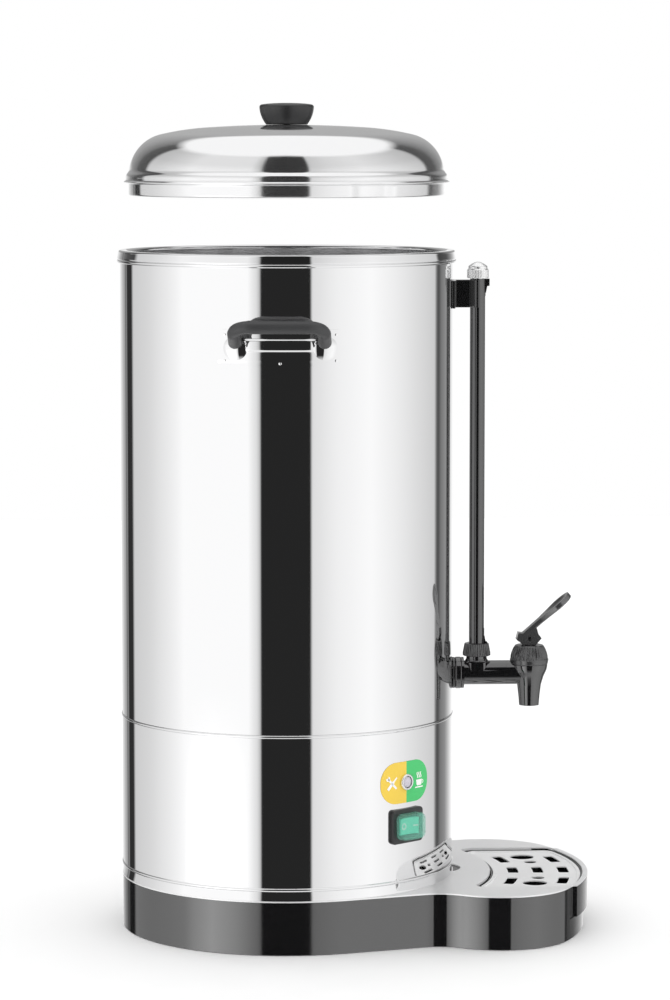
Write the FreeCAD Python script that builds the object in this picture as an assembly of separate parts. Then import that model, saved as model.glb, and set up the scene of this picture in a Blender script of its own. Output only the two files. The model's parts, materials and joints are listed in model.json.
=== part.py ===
import FreeCAD, Part
import math
import os

V = FreeCAD.Vector
UP = V(0, 0, 1)

# A hot water urn. Sizes are millimetres, angles are degrees.
# The tank's axis is Z and the floor is Z = 0. The tap and the drip tray point along +X.
# Pieces on the tank's wall are drawn facing +X and then turned round to their place.

# Clearances
move_gap = 0.3
slip_gap = 0.1
seat_gap = 0.05

# Vessel, jacket and skirt
tank_r = 125.0
sheet_t = 0.8
vessel_gap = 3.7
foot_h = 7.2
skirt_h = 114.0
jacket_h = 349.8
bead_out = 0.7
bead_half = 1.1
spigot_h = 8.8
floor_rise = 10.8
floor_corner = 8.0
vessel_hole_edge = 0.3

# Rolled rim ring
rim_h = 9.7
rim_out = 2.4
rim_in = 0.7
rim_t = 1.2

# Base
base_h = 40.0
deck_t = 1.0
base_wall = 3.0
roof_t = 2.5
waist_azimuth = 72.5
waist_run = 62.9
waist_r = 32.0
shoulder_azimuth = -55.9
shoulder_r = 55.0
lobe_reach = 100.0
deck_lap = 0.3
wire_hole_r = 45.0
plate_z = 2.0
plate_t = 1.2
boss_r = 4.5
boss_circle_r = 104.0
boss_azimuths = (75.0, 140.0, 220.0, 285.0)
lobe_boss_x = 146.0
lobe_boss_y = 96.0
screw_r = 1.5
screw_head_r = 3.4
screw_head_h = 1.7
screw_len = 12.0
pad_r = 11.0
pad_circle_r = 88.0
pad_azimuths = (45.0, 135.0, 225.0, 315.0)
lobe_pad_x = 188.0

# Opening in the deck over the tray
shelf_w = 29.0
open_half = 77.5
open_end = 0.4
open_corner = 8.0
flange_h = 2.2
flange_end_x = 194.0
crescent_r = 20.0
crescent_out = 7.0

# Drip tray
bay_floor_z = 15.0
bay_wall = 2.0
tray_wall = 2.0
tray_floor_t = 1.8
tray_rim_drop = 2.6
ledge_drop = 3.8
ledge_w = 2.5
front_half = 78.0
front_t = 1.7
pull_half = 73.0
pull_out = 3.3
pull_bottom_z = 16.0

# Drip grille
grille_inset = 2.5
grille_half = 73.0
grille_end = 2.2
grille_corner = 7.0
grille_t = 1.0
lip_w = 2.4
lip_h = 0.8
column_in = 47.0
column_mid = 66.0
column_out = 85.5
slot_w = 7.9
slot_corner = 1.6
slots_in = ((-18.3, -9.9), (-3.7, 3.7), (9.9, 18.3))
slots_mid = ((-3.5, 3.5),)
slots_out = ((-14.8, -8.1), (-3.2, 3.2), (8.1, 14.8))
small_hole_r = 5.0
small_hole_at = 9.3
big_hole_r = 9.2
big_hole_at = 15.5

# Foot ring between the skirt and the deck
foot_ring_t = 1.2
foot_flare = 0.6

# Heater under the vessel
heater_plate_r = 72.0
heater_plate_t = 3.0
element_r = 50.0
element_wire_r = 4.0
element_sweep = 320.0
element_leg = 22.0
pin_r = 1.8
pin_len = 8.0
disc_x = 24.0
disc_r = 9.0
disc_h = 8.0
blade_w = 6.3
blade_t = 0.8
blade_len = 9.0
block_x = -20.0
block_y = 74.0
block_len = 46.0
block_w = 18.0
block_h = 20.0
block_bore_r = 3.0
block_bore_pitch = 14.0

# Cord gland at the rear
gland_rise = 28.8
gland_bore_r = 4.25
gland_thread_r = 7.8
gland_flange_r = 12.0
gland_flange_t = 3.0
gland_dome_r = 10.0
gland_dome_h = 15.0
gland_inner = 12.0
gland_nut_flats = 22.0
gland_nut_t = 5.0

# Carrying handles
handle_azimuths = (-94.2, 85.8)
handle_drop = 67.2
plate_half_angle = 21.4
plate_below = 12.8
plate_above = 13.5
plate_corner = 4.0
handle_plate_t = 0.9
rib_half_angle = 12.0
rib_below = 6.3
rib_above = 6.2
rib_out = 1.0
foot_half = 32.3
dome_r = 9.0
dome_h = 2.4
bar_out = 30.0
bar_rise = 16.8
handle_corner = 11.0
handle_wire_r = 2.5
grip_r = 4.9
grip_start = 10.0

# Status label, lamp and switch
panel_azimuth = -47.6
label_drop = 39.0
label_w = 49.4
label_h = 30.8
label_corner = 14.5
label_t = 0.3
lamp_bezel_r = 6.1
lamp_bezel_in = 4.5
lamp_bezel_out = 1.9
lamp_body_r = 4.0
lamp_depth = 18.0
lens_rise = 1.4
switch_drop = 71.4
frame_w = 32.0
frame_h = 25.6
frame_t = 3.2
frame_corner = 3.0
frame_open_w = 19.5
frame_open_h = 14.5
switch_body_w = 27.0
switch_body_h = 20.4
switch_depth = 22.0
rocker_axis_depth = 4.2
trunnion_r = 1.5
trunnion_out = 1.4
rocker_w = 17.4
rocker_h = 12.0
rocker_t = 6.0
rocker_crown = 30.0
rocker_tilt = 6.0
boot_w = 24.6
boot_h = 19.4
boot_out = 7.2
boot_corner = 5.0
boot_wall = 0.9

# Level gauge
gauge_reach = 18.8
guard_r = 5.9
guard_bore_r = 4.6
guard_drop = 22.0
guard_slot_w = 5.0
guard_slot_rise = 34.0
guard_slot_drop = 35.0
glass_r = 4.0
glass_bore_r = 2.8
glass_drop = 27.0
gauge_nut_h = 9.6
gauge_nut_r = 10.5
gauge_nut_top_r = 9.15
branch_r = 7.8
branch_h = 13.0
branch_thread_r = 6.9
branch_thread_h = 4.0
seal_h = 2.0
cap_r = 8.2
cap_h = 12.2
cap_skirt_h = 6.4
cap_neck_r = 7.3
cap_neck_h = 8.9
cap_tip_r = 1.6
cap_plug_h = 5.0
bracket_drop = 43.5
bracket_h = 20.8
bracket_half_angle = 10.5
bracket_plate_t = 2.0
bracket_arm_w = 9.0
clip_t = 1.8

# Tap
tap_rise = 28.8
shank_r = 6.5
shank_inner = 13.5
tap_bore_r = 5.5
seal_r = 11.9
tap_seal_t = 2.2
ring_nut_r = 12.1
ring_nut_t = 4.6
tee_flange_t = 1.8
tee_r = 9.15
tee_len = 41.0
spigot_r = 7.5
spigot_len = 3.0
lock_nut_flats = 21.0
lock_nut_t = 4.8
inner_seal_t = 1.5
spout_reach = 58.9
spout_bottom = 25.0
spout_tip_r = 7.5
spout_bore_r = 6.0
seat_hole_r = 4.6
chamber_r = 10.2
collar_r = 12.0
shoulder_out_r = 14.0
bonnet_r = 14.75
bonnet_top_r = 10.6
bonnet_bottom = 6.6
bonnet_h = 14.4
bonnet_groove_count = 20
stem_r = 2.0
stem_tip = 5.5
lever_pivot_rise = 5.3
lever_rise = 41.7
lever_len = 45.0
lever_neck_half = 4.4
paddle_half = 10.5
paddle_len = 20.0
lever_top = 6.3
lever_bottom = 2.3
cheek_half = 5.2
fork_half = 2.3
stem_head_r = 4.0
stem_head_half = 2.0
pin_half = 5.0
lever_pin_r = 1.5

# Lid, shown lifted off as in the photograph
lid_lifted = 49.7
lid_flange_r = 122.0
lid_skirt_r = 118.2
lid_skirt_h = 9.1
lid_side_r = 119.3
lid_bead_h = 2.6
lid_side_h = 9.1
lid_pinch_in = 1.9
lid_pinch_h = 5.4
lid_corner_r = 30.0
lid_crown_rise = 4.5
vent_azimuth = -59.0
vent_half_angle = 7.6
vent_depth = 2.5
vent_h = 8.2
lid_hole_r = 2.7
knob_foot_r = 14.8
knob_r = 20.4
knob_h = 15.2
knob_edge = 2.5
knob_crown = 0.9
lid_screw_r = 2.4
lid_screw_head_r = 4.4
lid_screw_head_h = 3.0
washer_r = 7.5
washer_t = 1.0

# Levels and reaches worked out from the sizes above
skirt_z = base_h + foot_h
seam_z = skirt_z + skirt_h
tank_top = seam_z + jacket_h
jacket_bore = tank_r - sheet_t
vessel_r = jacket_bore - vessel_gap
floor_z = seam_z + floor_rise
roof_z = base_h - deck_t - roof_t
deck_z = base_h - deck_t
tap_z = seam_z + tap_rise
gauge_x = tank_r + gauge_reach
spout_x = tank_r + spout_reach
bonnet_z = tap_z + bonnet_bottom
bonnet_top = bonnet_z + bonnet_h
pivot_z = bonnet_top + lever_pivot_rise
open_r = tank_r + shelf_w
grille_r = open_r + grille_inset
tray_rim_z = base_h - tray_rim_drop
ledge_z = base_h - ledge_drop
lid_z = tank_top + lid_lifted
gland_z = skirt_z + gland_rise
label_z = seam_z - label_drop
switch_z = seam_z - switch_drop
handle_z = tank_top - handle_drop
plate_bottom_z = handle_z - plate_below
plate_top_z = handle_z + plate_above
rib_bottom_z = handle_z - rib_below
rib_top_z = handle_z + rib_above
guard_top_z = tank_top - guard_drop
guard_slot_bottom_z = tap_z + guard_slot_rise
guard_slot_top_z = tank_top - guard_slot_drop
glass_top_z = tank_top - glass_drop
bracket_z = tank_top - bracket_drop


def save(name, shape):
    shape.exportStep(f"parts/{name}.step")


def in_xz(a, b):
    return V(a, 0, b)


def edge_path(place, start, steps):
    # A step of two numbers is a straight run, one of four is an arc through its first point.
    edges = []
    here = start
    for step in steps:
        end = step[-2:]
        if len(step) == 4:
            edges.append(Part.Arc(place(*here), place(*step[:2]), place(*end)).toShape())
        else:
            edges.append(Part.makeLine(place(*here), place(*end)))
        here = end
    return edges


def closed_face(place, start, steps):
    steps = list(steps) + [start]
    return Part.Face(Part.Wire(edge_path(place, start, steps)))


def turned(start, steps, x=0.0, y=0.0):
    # A turned piece on an upright axis: the points are radius and height.
    face = closed_face(lambda r, z: V(x + r, y, z), start, steps)
    return face.revolve(V(x, y, 0), UP, 360)


def spun(start, steps, height, y=0.0):
    # A turned piece on a level axis along X: the points are X and radius.
    face = closed_face(lambda a, r: V(a, y, height + r), start, steps)
    return face.revolve(V(0, y, height), V(1, 0, 0), 360)


def dome_steps(radius, height, rise):
    # A shallow dome whose centre lies on the turning axis.
    ball = (radius**2 + rise**2) / (2 * rise)
    drop = ball - math.sqrt(ball**2 - (radius / 2) ** 2)
    return radius / 2, height + rise - drop, 0, height + rise


def post(x, y, r, z0, z1):
    return Part.makeCylinder(r, z1 - z0, V(x, y, z0))


def bar(x0, x1, r, z, y=0.0):
    return Part.makeCylinder(r, x1 - x0, V(x0, y, z), V(1, 0, 0))


def block(x0, x1, half_y, z0, z1, y=0.0):
    return Part.makeBox(x1 - x0, 2 * half_y, z1 - z0, V(x0, y - half_y, z0))


def straight_edges(shape, direction):
    lines = [e for e in shape.Edges if e.Curve.TypeId == "Part::GeomLine"]
    return [e for e in lines if abs(abs(e.Curve.Direction.dot(direction)) - 1) < 1e-6]


def rounded(shape, radius, direction=UP):
    return shape.makeFillet(radius, straight_edges(shape, direction))


def panel_block(x0, x1, width, height, z, corner):
    # A rounded block that faces +X, centred at a height.
    return rounded(block(x0, x1, width / 2, z - height / 2, z + height / 2), corner, V(1, 0, 0))


def hexagon(x0, x1, flats, z, y=0.0):
    # A hexagonal nut blank on a level axis along X.
    corner = flats / math.sqrt(3)
    turns = [math.radians(60 * i) for i in range(7)]
    points = [V(x0, y + corner * math.cos(a), z + corner * math.sin(a)) for a in turns]
    return Part.Face(Part.makePolygon(points)).extrude(V(x1 - x0, 0, 0))


def wall_sector(r0, r1, half_angle, z0, z1):
    # A piece of tube wall, centred on the +X side.
    face = closed_face(in_xz, (r0, z0), [(r1, z0), (r1, z1), (r0, z1)])
    face.rotate(V(0, 0, 0), UP, -half_angle)
    return face.revolve(V(0, 0, 0), UP, 2 * half_angle)


def at_azimuth(shape, azimuth):
    moved = shape.copy()
    moved.rotate(V(0, 0, 0), UP, azimuth)
    return moved


def polar(radius, azimuth):
    turn = math.radians(azimuth)
    return radius * math.cos(turn), radius * math.sin(turn)


def plan_arc(x, y, r, start, end):
    circle = Part.Circle(V(x, y, 0), UP, r)
    return Part.ArcOfCircle(circle, math.radians(start), math.radians(end)).toShape()


def lift(edges, z0, z1):
    wire = Part.Wire(Part.__sortEdges__(edges))
    wire.translate(V(0, 0, z0))
    return Part.Face(wire).extrude(V(0, 0, z1 - z0))


# Plan of the base: the tank's circle, a waist on each side, two shoulders and a broad end

def waist_centre():
    nx, ny = polar(1.0, waist_azimuth)
    reach = tank_r + waist_r
    return reach * nx + waist_run * ny, reach * ny - waist_run * nx


def shoulder_centre():
    x, y = waist_centre()
    dx, dy = polar(waist_r + shoulder_r, shoulder_azimuth)
    return x + dx, y + dy


def lobe_end():
    # The end arc runs round both shoulders and meets the axis at the lobe's reach.
    x, y = shoulder_centre()
    reach = tank_r + lobe_reach - shoulder_r
    centre = (reach**2 - x**2 - y**2) / (2 * (reach - x))
    return centre, tank_r + lobe_reach - centre


def base_plan(grow, z0, z1):
    wx, wy = waist_centre()
    sx, sy = shoulder_centre()
    cx, end_r = lobe_end()
    waist = waist_r - grow
    shoulder = shoulder_r + grow
    leave = polar(tank_r + grow, waist_azimuth)
    dx, dy = polar(waist, waist_azimuth)
    join = math.degrees(math.atan2(sy, sx - cx))
    edges = [
        plan_arc(0, 0, tank_r + grow, waist_azimuth, 360 - waist_azimuth),
        plan_arc(cx, 0, end_r + grow, -join, join),
        plan_arc(wx, wy, waist, waist_azimuth + 180, shoulder_azimuth + 360),
        plan_arc(wx, -wy, waist, -shoulder_azimuth, 180 - waist_azimuth),
        plan_arc(sx, sy, shoulder, join, shoulder_azimuth + 180),
        plan_arc(sx, -sy, shoulder, -shoulder_azimuth - 180, -join),
        Part.makeLine(V(*leave, 0), V(wx - dx, wy - dy, 0)),
        Part.makeLine(V(leave[0], -leave[1], 0), V(wx - dx, dy - wy, 0)),
    ]
    return lift(edges, z0, z1)


def tray_plan(inner_r, half, end_in, corner, z0, z1):
    # A plan whose inner side follows the tank and whose end follows the lobe.
    cx, end_r = lobe_end()
    outer = end_r - end_in
    x_in = math.sqrt(inner_r**2 - half**2)
    x_out = cx + math.sqrt(outer**2 - half**2)
    edges = [
        Part.Arc(V(x_in, -half, 0), V(inner_r, 0, 0), V(x_in, half, 0)).toShape(),
        Part.Arc(V(x_out, -half, 0), V(cx + outer, 0, 0), V(x_out, half, 0)).toShape(),
        Part.makeLine(V(x_in, half, 0), V(x_out, half, 0)),
        Part.makeLine(V(x_in, -half, 0), V(x_out, -half, 0)),
    ]
    return rounded(lift(edges, z0, z1), corner)


def opening(grow, z0, z1):
    return tray_plan(open_r - grow, open_half + grow, open_end - grow, open_corner + grow, z0, z1)


def boss_places():
    places = [polar(boss_circle_r, a) for a in boss_azimuths]
    return places + [(lobe_boss_x, lobe_boss_y), (lobe_boss_x, -lobe_boss_y)]


def pad_places():
    return [polar(pad_circle_r, a) for a in pad_azimuths] + [(lobe_pad_x, 0.0)]


def make_housing():
    bay_half = front_half + move_gap
    inside = base_plan(-base_wall, -1, roof_z)
    pocket = opening(flange_t() + bay_wall, bay_floor_z - bay_wall, roof_z)
    inside = inside.cut(pocket)
    for x, y in boss_places():
        inside = inside.cut(post(x, y, boss_r, plate_z + plate_t + seat_gap, roof_z))
    housing = base_plan(0, 0, deck_z).cut(inside)
    housing = housing.cut(opening(flange_t(), bay_floor_z, deck_z + 1))
    lobe_x = open_r + ledge_w
    window = block(lobe_x + 30, tank_r + lobe_reach + 9, bay_half, bay_floor_z, deck_z + 1)
    housing = housing.cut(window)
    housing = housing.cut(post(0, 0, wire_hole_r, 1, deck_z + 1))
    for x, y in boss_places():
        housing = housing.cut(post(x, y, screw_r, plate_z, plate_z + screw_len))
    save("base_housing", housing)


def flange_t():
    return deck_t + move_gap


def make_deck():
    lip = base_plan(pull_out, deck_z, base_h)
    lip = lip.common(block(open_r, tank_r + lobe_reach + 9, pull_half + 0.4, 0, base_h + 1))
    deck = base_plan(deck_lap, deck_z, base_h).fuse(lip)
    collar = opening(deck_t, base_h - flange_h, deck_z + deck_t / 2)
    way_out = block(open_r + 10, tank_r + lobe_reach + 9, open_half, 0, deck_z)
    side_end = block(flange_end_x, tank_r + lobe_reach + 9, open_half + 9, 0, deck_z)
    deck = deck.fuse(collar.cut(way_out).cut(side_end))
    deck = deck.cut(opening(0, 0, base_h + 1))
    notch_x = tank_r + crescent_out - crescent_r
    notch = post(notch_x, 0, crescent_r, 0, base_h + 1).cut(post(0, 0, tank_r + 1, 0, base_h + 1))
    deck = deck.cut(notch)
    deck = deck.cut(post(0, 0, wire_hole_r, 0, base_h + 1)).removeSplitter()
    save("base_deck", deck)


def make_base_plate():
    plate = base_plan(-base_wall - move_gap, plate_z, plate_z + plate_t)
    screws = []
    for x, y in boss_places():
        plate = plate.cut(post(x, y, screw_r + move_gap, 0, base_h))
        shank = post(x, y, screw_r - slip_gap, plate_z, plate_z + screw_len - move_gap)
        screws.append(shank.fuse(post(x, y, screw_head_r, plate_z - screw_head_h, plate_z)))
    pads = [post(x, y, pad_r, 0, plate_z) for x, y in pad_places()]
    save("base_plate", plate)
    save("base_screws", Part.makeCompound(screws))
    save("rubber_pads", Part.makeCompound(pads))


# Drip tray, which draws out along +X under the deck's lip, and its grille

def grille_plan(grow, z0, z1):
    corner = grille_corner + grow
    return tray_plan(grille_r - grow, grille_half + grow, grille_end - grow, corner, z0, z1)


def front_wall(grow, half):
    # A piece of the tray's front, from inside the base's wall out to the given growth of its plan.
    wall = base_plan(grow, pull_bottom_z, deck_z - move_gap)
    wall = wall.cut(base_plan(-front_t, 0, base_h))
    return wall.common(block(open_r + 20, tank_r + lobe_reach + 9, half, 0, base_h))


def make_tray():
    floor_z0 = bay_floor_z + move_gap * 2
    outer = tray_plan(open_r + 0.8, front_half - 0.9, open_end + 0.6, open_corner, floor_z0, tray_rim_z)
    front = front_wall(0, front_half).fuse(front_wall(pull_out, pull_half))
    tray = outer.fuse(front)
    tray = tray.cut(grille_plan(move_gap * 2, ledge_z, base_h))
    tray = tray.cut(grille_plan(-ledge_w, floor_z0 + tray_floor_t, base_h))
    save("drip_tray", tray.removeSplitter())


def slot(radius, start, end, z0, z1):
    inner = radius - slot_w / 2
    outer = radius + slot_w / 2
    edges = [
        plan_arc(0, 0, inner, start, end),
        plan_arc(0, 0, outer, start, end),
        Part.makeLine(V(*polar(inner, start), 0), V(*polar(outer, start), 0)),
        Part.makeLine(V(*polar(inner, end), 0), V(*polar(outer, end), 0)),
    ]
    return rounded(lift(edges, z0, z1), slot_corner)


def make_grille():
    z0 = ledge_z + move_gap
    z1 = z0 + grille_t
    plate = grille_plan(0, z0, z1 + lip_h)
    plate = plate.cut(grille_plan(-lip_w, z1, base_h))
    columns = ((column_in, slots_in), (column_mid, slots_mid), (column_out, slots_out))
    for reach, slots in columns:
        for start, end in slots:
            plate = plate.cut(slot(tank_r + reach, start, end, 0, base_h))
    for radius, azimuth in ((small_hole_r, small_hole_at), (big_hole_r, big_hole_at)):
        for side in (-1, 1):
            x, y = polar(tank_r + column_mid, side * azimuth)
            plate = plate.cut(post(x, y, radius, 0, base_h))
    save("drip_grille", plate)


# Shells of the tank

def through_wall(reach, radius, z):
    return bar(tank_r - reach, tank_r + reach, radius, z)


def make_foot_ring():
    top = skirt_z - slip_gap
    bottom = base_h
    outer = tank_r - 0.3
    middle = (outer + foot_flare * 0.3, (top + bottom) / 2)
    steps = [(outer + foot_flare, bottom), (*middle, outer, top), (outer - foot_ring_t, top)]
    save("foot_ring", turned((outer - foot_ring_t, bottom), steps))


def bead_steps(z):
    return [(tank_r + bead_out, z, tank_r, z + bead_half)]


def make_skirt():
    low = skirt_z + bead_half
    steps = [(tank_r, skirt_z)] + bead_steps(low) + [(tank_r, seam_z - bead_half)]
    steps += bead_steps(seam_z)
    spigot = jacket_bore - slip_gap
    top = seam_z + spigot_h
    steps += [(spigot, seam_z + bead_half), (spigot, top), (spigot - sheet_t, top)]
    steps += [(spigot - sheet_t, seam_z), (jacket_bore, seam_z - bead_half)]
    skirt = turned((jacket_bore, skirt_z), steps)
    lamp = through_wall(12, lamp_body_r + move_gap, label_z)
    window = panel_block(tank_r - 20, tank_r + 9, switch_body_w + 1, switch_body_h + 1, switch_z, 1.0)
    skirt = skirt.cut(at_azimuth(lamp.fuse(window), panel_azimuth))
    gland = through_wall(12, gland_thread_r + move_gap, gland_z)
    save("skirt_shell", skirt.cut(at_azimuth(gland, 90)))


def make_tank():
    top = tank_top - rim_t - move_gap
    bottom = seam_z + bead_half + seat_gap
    steps = [(tank_r, bottom), (tank_r, top), (jacket_bore, top)]
    jacket = turned((jacket_bore, bottom), steps)
    tap_hole = bar(0, tank_r + 9, shank_r + vessel_hole_edge, tap_z)
    save("tank_jacket", jacket.cut(tap_hole))
    inner = vessel_r - sheet_t
    turn = floor_corner * (1 - math.sqrt(0.5))
    turn_in = (floor_corner - sheet_t) * (1 - math.sqrt(0.5))
    deep = floor_z + sheet_t
    steps = [
        (vessel_r - floor_corner, floor_z),
        (vessel_r - turn, floor_z + turn, vessel_r, floor_z + floor_corner),
        (vessel_r, top),
        (inner, top),
        (inner, floor_z + floor_corner),
        (inner - turn_in, deep + turn_in, vessel_r - floor_corner, deep),
        (0, deep),
    ]
    save("inner_vessel", turned((0, floor_z), steps).cut(tap_hole))


def make_rim():
    bottom = tank_top - rim_h
    outer = tank_r + rim_out
    inner = vessel_r - sheet_t - rim_in
    under = tank_top - rim_t
    steps = [
        (outer - 0.9, bottom),
        (outer, tank_top - 3.0),
        (outer - 0.6, tank_top - 0.8, outer - 2.6, tank_top),
        (inner + 2.2, tank_top),
        (inner + 0.6, tank_top - 0.6, inner, tank_top - 2.2),
        (inner, bottom + 2),
        (inner + rim_in - seat_gap, bottom + 2),
        (inner + rim_in - seat_gap, under),
        (tank_r + 0.9, under),
        (tank_r + 0.9, bottom + 1.4),
        (tank_r + seat_gap, bottom + 0.9),
    ]
    save("rim_ring", turned((tank_r + seat_gap, bottom), steps))


# Heater and wiring points, inside the skirt

def make_heater():
    top = floor_z - seat_gap
    under = top - heater_plate_t
    save("heater_plate", post(0, 0, heater_plate_r, under, top))
    wire_z = under - element_wire_r - seat_gap
    half = element_sweep / 2
    face = Part.Face(Part.Wire(Part.makeCircle(element_wire_r, V(element_r, 0, wire_z), V(0, 1, 0))))
    element = face.revolve(V(0, 0, 0), UP, half).fuse(face.revolve(V(0, 0, 0), UP, -half))
    for side in (-1, 1):
        x, y = polar(element_r, side * half)
        leg = post(x, y, element_wire_r, wire_z - element_leg, wire_z)
        knee = Part.makeSphere(element_wire_r, V(x, y, wire_z))
        pin = post(x, y, pin_r, wire_z - element_leg - pin_len, wire_z - element_leg)
        element = element.fuse([knee, leg, pin])
    save("heating_element", element)
    for name, side in (("thermostat", -1), ("thermal_cutout", 1)):
        x = side * disc_x
        body = post(x, 0, disc_r, under - disc_h, under - seat_gap)
        flange = block(x - disc_r - 3, x + disc_r + 3, 5, under - 1, under - seat_gap)
        body = body.fuse(flange)
        for step in (-4, 4):
            low = under - disc_h - blade_len
            blade = block(x + step - blade_t / 2, x + step + blade_t / 2, blade_w / 2, low, under - disc_h)
            body = body.fuse(blade)
        save(name, body)


def make_terminal_block():
    x0 = block_x - block_len / 2
    body = block(x0, x0 + block_len, block_w / 2, base_h, base_h + block_h, block_y)
    body = rounded(body, 1.5)
    for i in (-1, 0, 1):
        x = block_x + i * block_bore_pitch
        body = body.cut(Part.makeCylinder(block_bore_r, block_w + 2,
                                          V(x, block_y - block_w / 2 - 1, base_h + block_h / 2), V(0, 1, 0)))
        body = body.cut(post(x, block_y, block_bore_r, base_h + block_h / 2, base_h + block_h + 1))
    save("terminal_block", body)


def make_gland():
    face_x = tank_r + 0.1
    dome_x = face_x + gland_flange_t
    tip_x = dome_x + gland_dome_h
    back_x = tank_r - sheet_t - gland_inner
    steps = [
        (back_x, gland_thread_r),
        (face_x, gland_thread_r),
        (face_x, gland_flange_r),
        (dome_x, gland_flange_r),
        (dome_x + 0.8, gland_dome_r),
        (dome_x + gland_dome_h * 0.4, gland_dome_r),
        (tip_x - 2.5, gland_dome_r - 1.6, tip_x, gland_bore_r + 1.6),
        (tip_x, gland_bore_r),
    ]
    gland = spun((back_x, gland_bore_r), steps, gland_z)
    save("cord_gland", at_azimuth(gland, 90))
    nut_x1 = math.sqrt(jacket_bore**2 - gland_flange_r**2) - seat_gap
    nut = hexagon(nut_x1 - gland_nut_t, nut_x1, gland_nut_flats, gland_z)
    nut = nut.cut(bar(0, tank_r, gland_thread_r + slip_gap, gland_z))
    save("gland_nut", at_azimuth(nut, 90))


# Carrying handles

def handle_path():
    # The path of the wire, drawn level from the two feet and then tilted up.
    x0 = math.sqrt(tank_r**2 - foot_half**2)
    length = math.hypot(tank_r + bar_out - x0, bar_rise)
    lean = math.degrees(math.atan2(bar_rise, tank_r + bar_out - x0))
    return x0, length, lean


def handle_tube(radius, start):
    x0, length, lean = handle_path()
    knee = handle_corner
    sag = knee * (1 - math.sqrt(0.5))
    far = x0 + length
    steps = [
        (far - knee, -foot_half),
        (far - sag, -foot_half + sag, far, -foot_half + knee),
        (far, foot_half - knee),
        (far - sag, foot_half - sag, far - knee, foot_half),
        (x0 + start, foot_half),
    ]
    edges = edge_path(lambda a, b: V(a, b, handle_z), (x0 + start, -foot_half), steps)
    ring = Part.Wire(Part.makeCircle(radius, V(x0 + start, -foot_half, handle_z), V(1, 0, 0)))
    tube = Part.Wire(edges).makePipeShell([ring], True, False)
    tube.rotate(V(x0, 0, handle_z), V(0, 1, 0), -lean)
    return tube


def foot_dome():
    ball_r = (dome_r**2 + dome_h**2) / (2 * dome_h)
    face_x = tank_r + handle_plate_t
    ball = Part.makeSphere(ball_r, V(face_x + dome_h - ball_r, 0, handle_z))
    keep = block(tank_r + seat_gap, tank_r + 9, dome_r, handle_z - dome_r, handle_z + dome_r)
    return ball.common(keep)


def make_handles():
    plate = wall_sector(tank_r + seat_gap, tank_r + handle_plate_t, plate_half_angle, plate_bottom_z,
                        plate_top_z)
    chord = 2 * tank_r * math.sin(math.radians(plate_half_angle)) - 0.5
    height = plate_top_z - plate_bottom_z
    cutter = panel_block(tank_r / 2, tank_r + 9, chord, height, (plate_top_z + plate_bottom_z) / 2,
                         plate_corner)
    plate = plate.common(cutter)
    rib = wall_sector(tank_r + seat_gap, tank_r + handle_plate_t + rib_out, rib_half_angle, rib_bottom_z,
                      rib_top_z)
    plate = plate.fuse(rib)
    foot_angle = math.degrees(math.asin(foot_half / tank_r))
    for side in (-1, 1):
        plate = plate.fuse(at_azimuth(foot_dome(), side * foot_angle))
    core = handle_tube(handle_wire_r, 0.0)
    hole = handle_tube(handle_wire_r + slip_gap, -2.0)
    plate = plate.cut(hole)
    core = core.cut(post(0, 0, tank_r + seat_gap, 0, tank_top))
    grip = handle_tube(grip_r, grip_start).cut(handle_tube(handle_wire_r + seat_gap, 0.0))
    for place, azimuth in zip(("front", "rear"), handle_azimuths):
        save(f"handle_plate_{place}", at_azimuth(plate, azimuth))
        save(f"handle_wire_{place}", at_azimuth(core, azimuth))
        save(f"handle_grip_{place}", at_azimuth(grip, azimuth))


# Status label, lamp and switch on the skirt

def make_label():
    shell = wall_sector(tank_r + seat_gap, tank_r + seat_gap + label_t, 16, label_z - label_h,
                        label_z + label_h)
    label = shell.common(panel_block(tank_r / 2, tank_r + 9, label_w, label_h, label_z, label_corner))
    label = label.cut(through_wall(9, lamp_bezel_in + slip_gap, label_z))
    save("status_label", at_azimuth(label, panel_azimuth))


def make_lamp():
    face_x = tank_r + seat_gap + label_t + seat_gap
    top_x = face_x + lamp_bezel_out
    steps = [
        (face_x, lamp_bezel_r),
        (face_x + lamp_bezel_out * 0.4, lamp_bezel_r),
        (top_x - 0.2, lamp_bezel_r - 0.5, top_x, lamp_bezel_r - 1.0),
        (top_x - 0.3, lamp_bezel_in),
    ]
    bezel = spun((face_x, lamp_bezel_in), steps, label_z)
    save("lamp_bezel", at_azimuth(bezel, panel_azimuth))
    lens_x = top_x - 0.9
    bulge_r, bulge_x, tip_r, tip_x = dome_steps(lamp_body_r, lens_x, lens_rise)
    steps = [
        (tank_r - lamp_depth, lamp_body_r),
        (lens_x, lamp_body_r),
        (bulge_x, bulge_r, tip_x, tip_r),
    ]
    lens = spun((tank_r - lamp_depth, 0), steps, label_z)
    save("lamp_lens", at_azimuth(lens, panel_azimuth))


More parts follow.
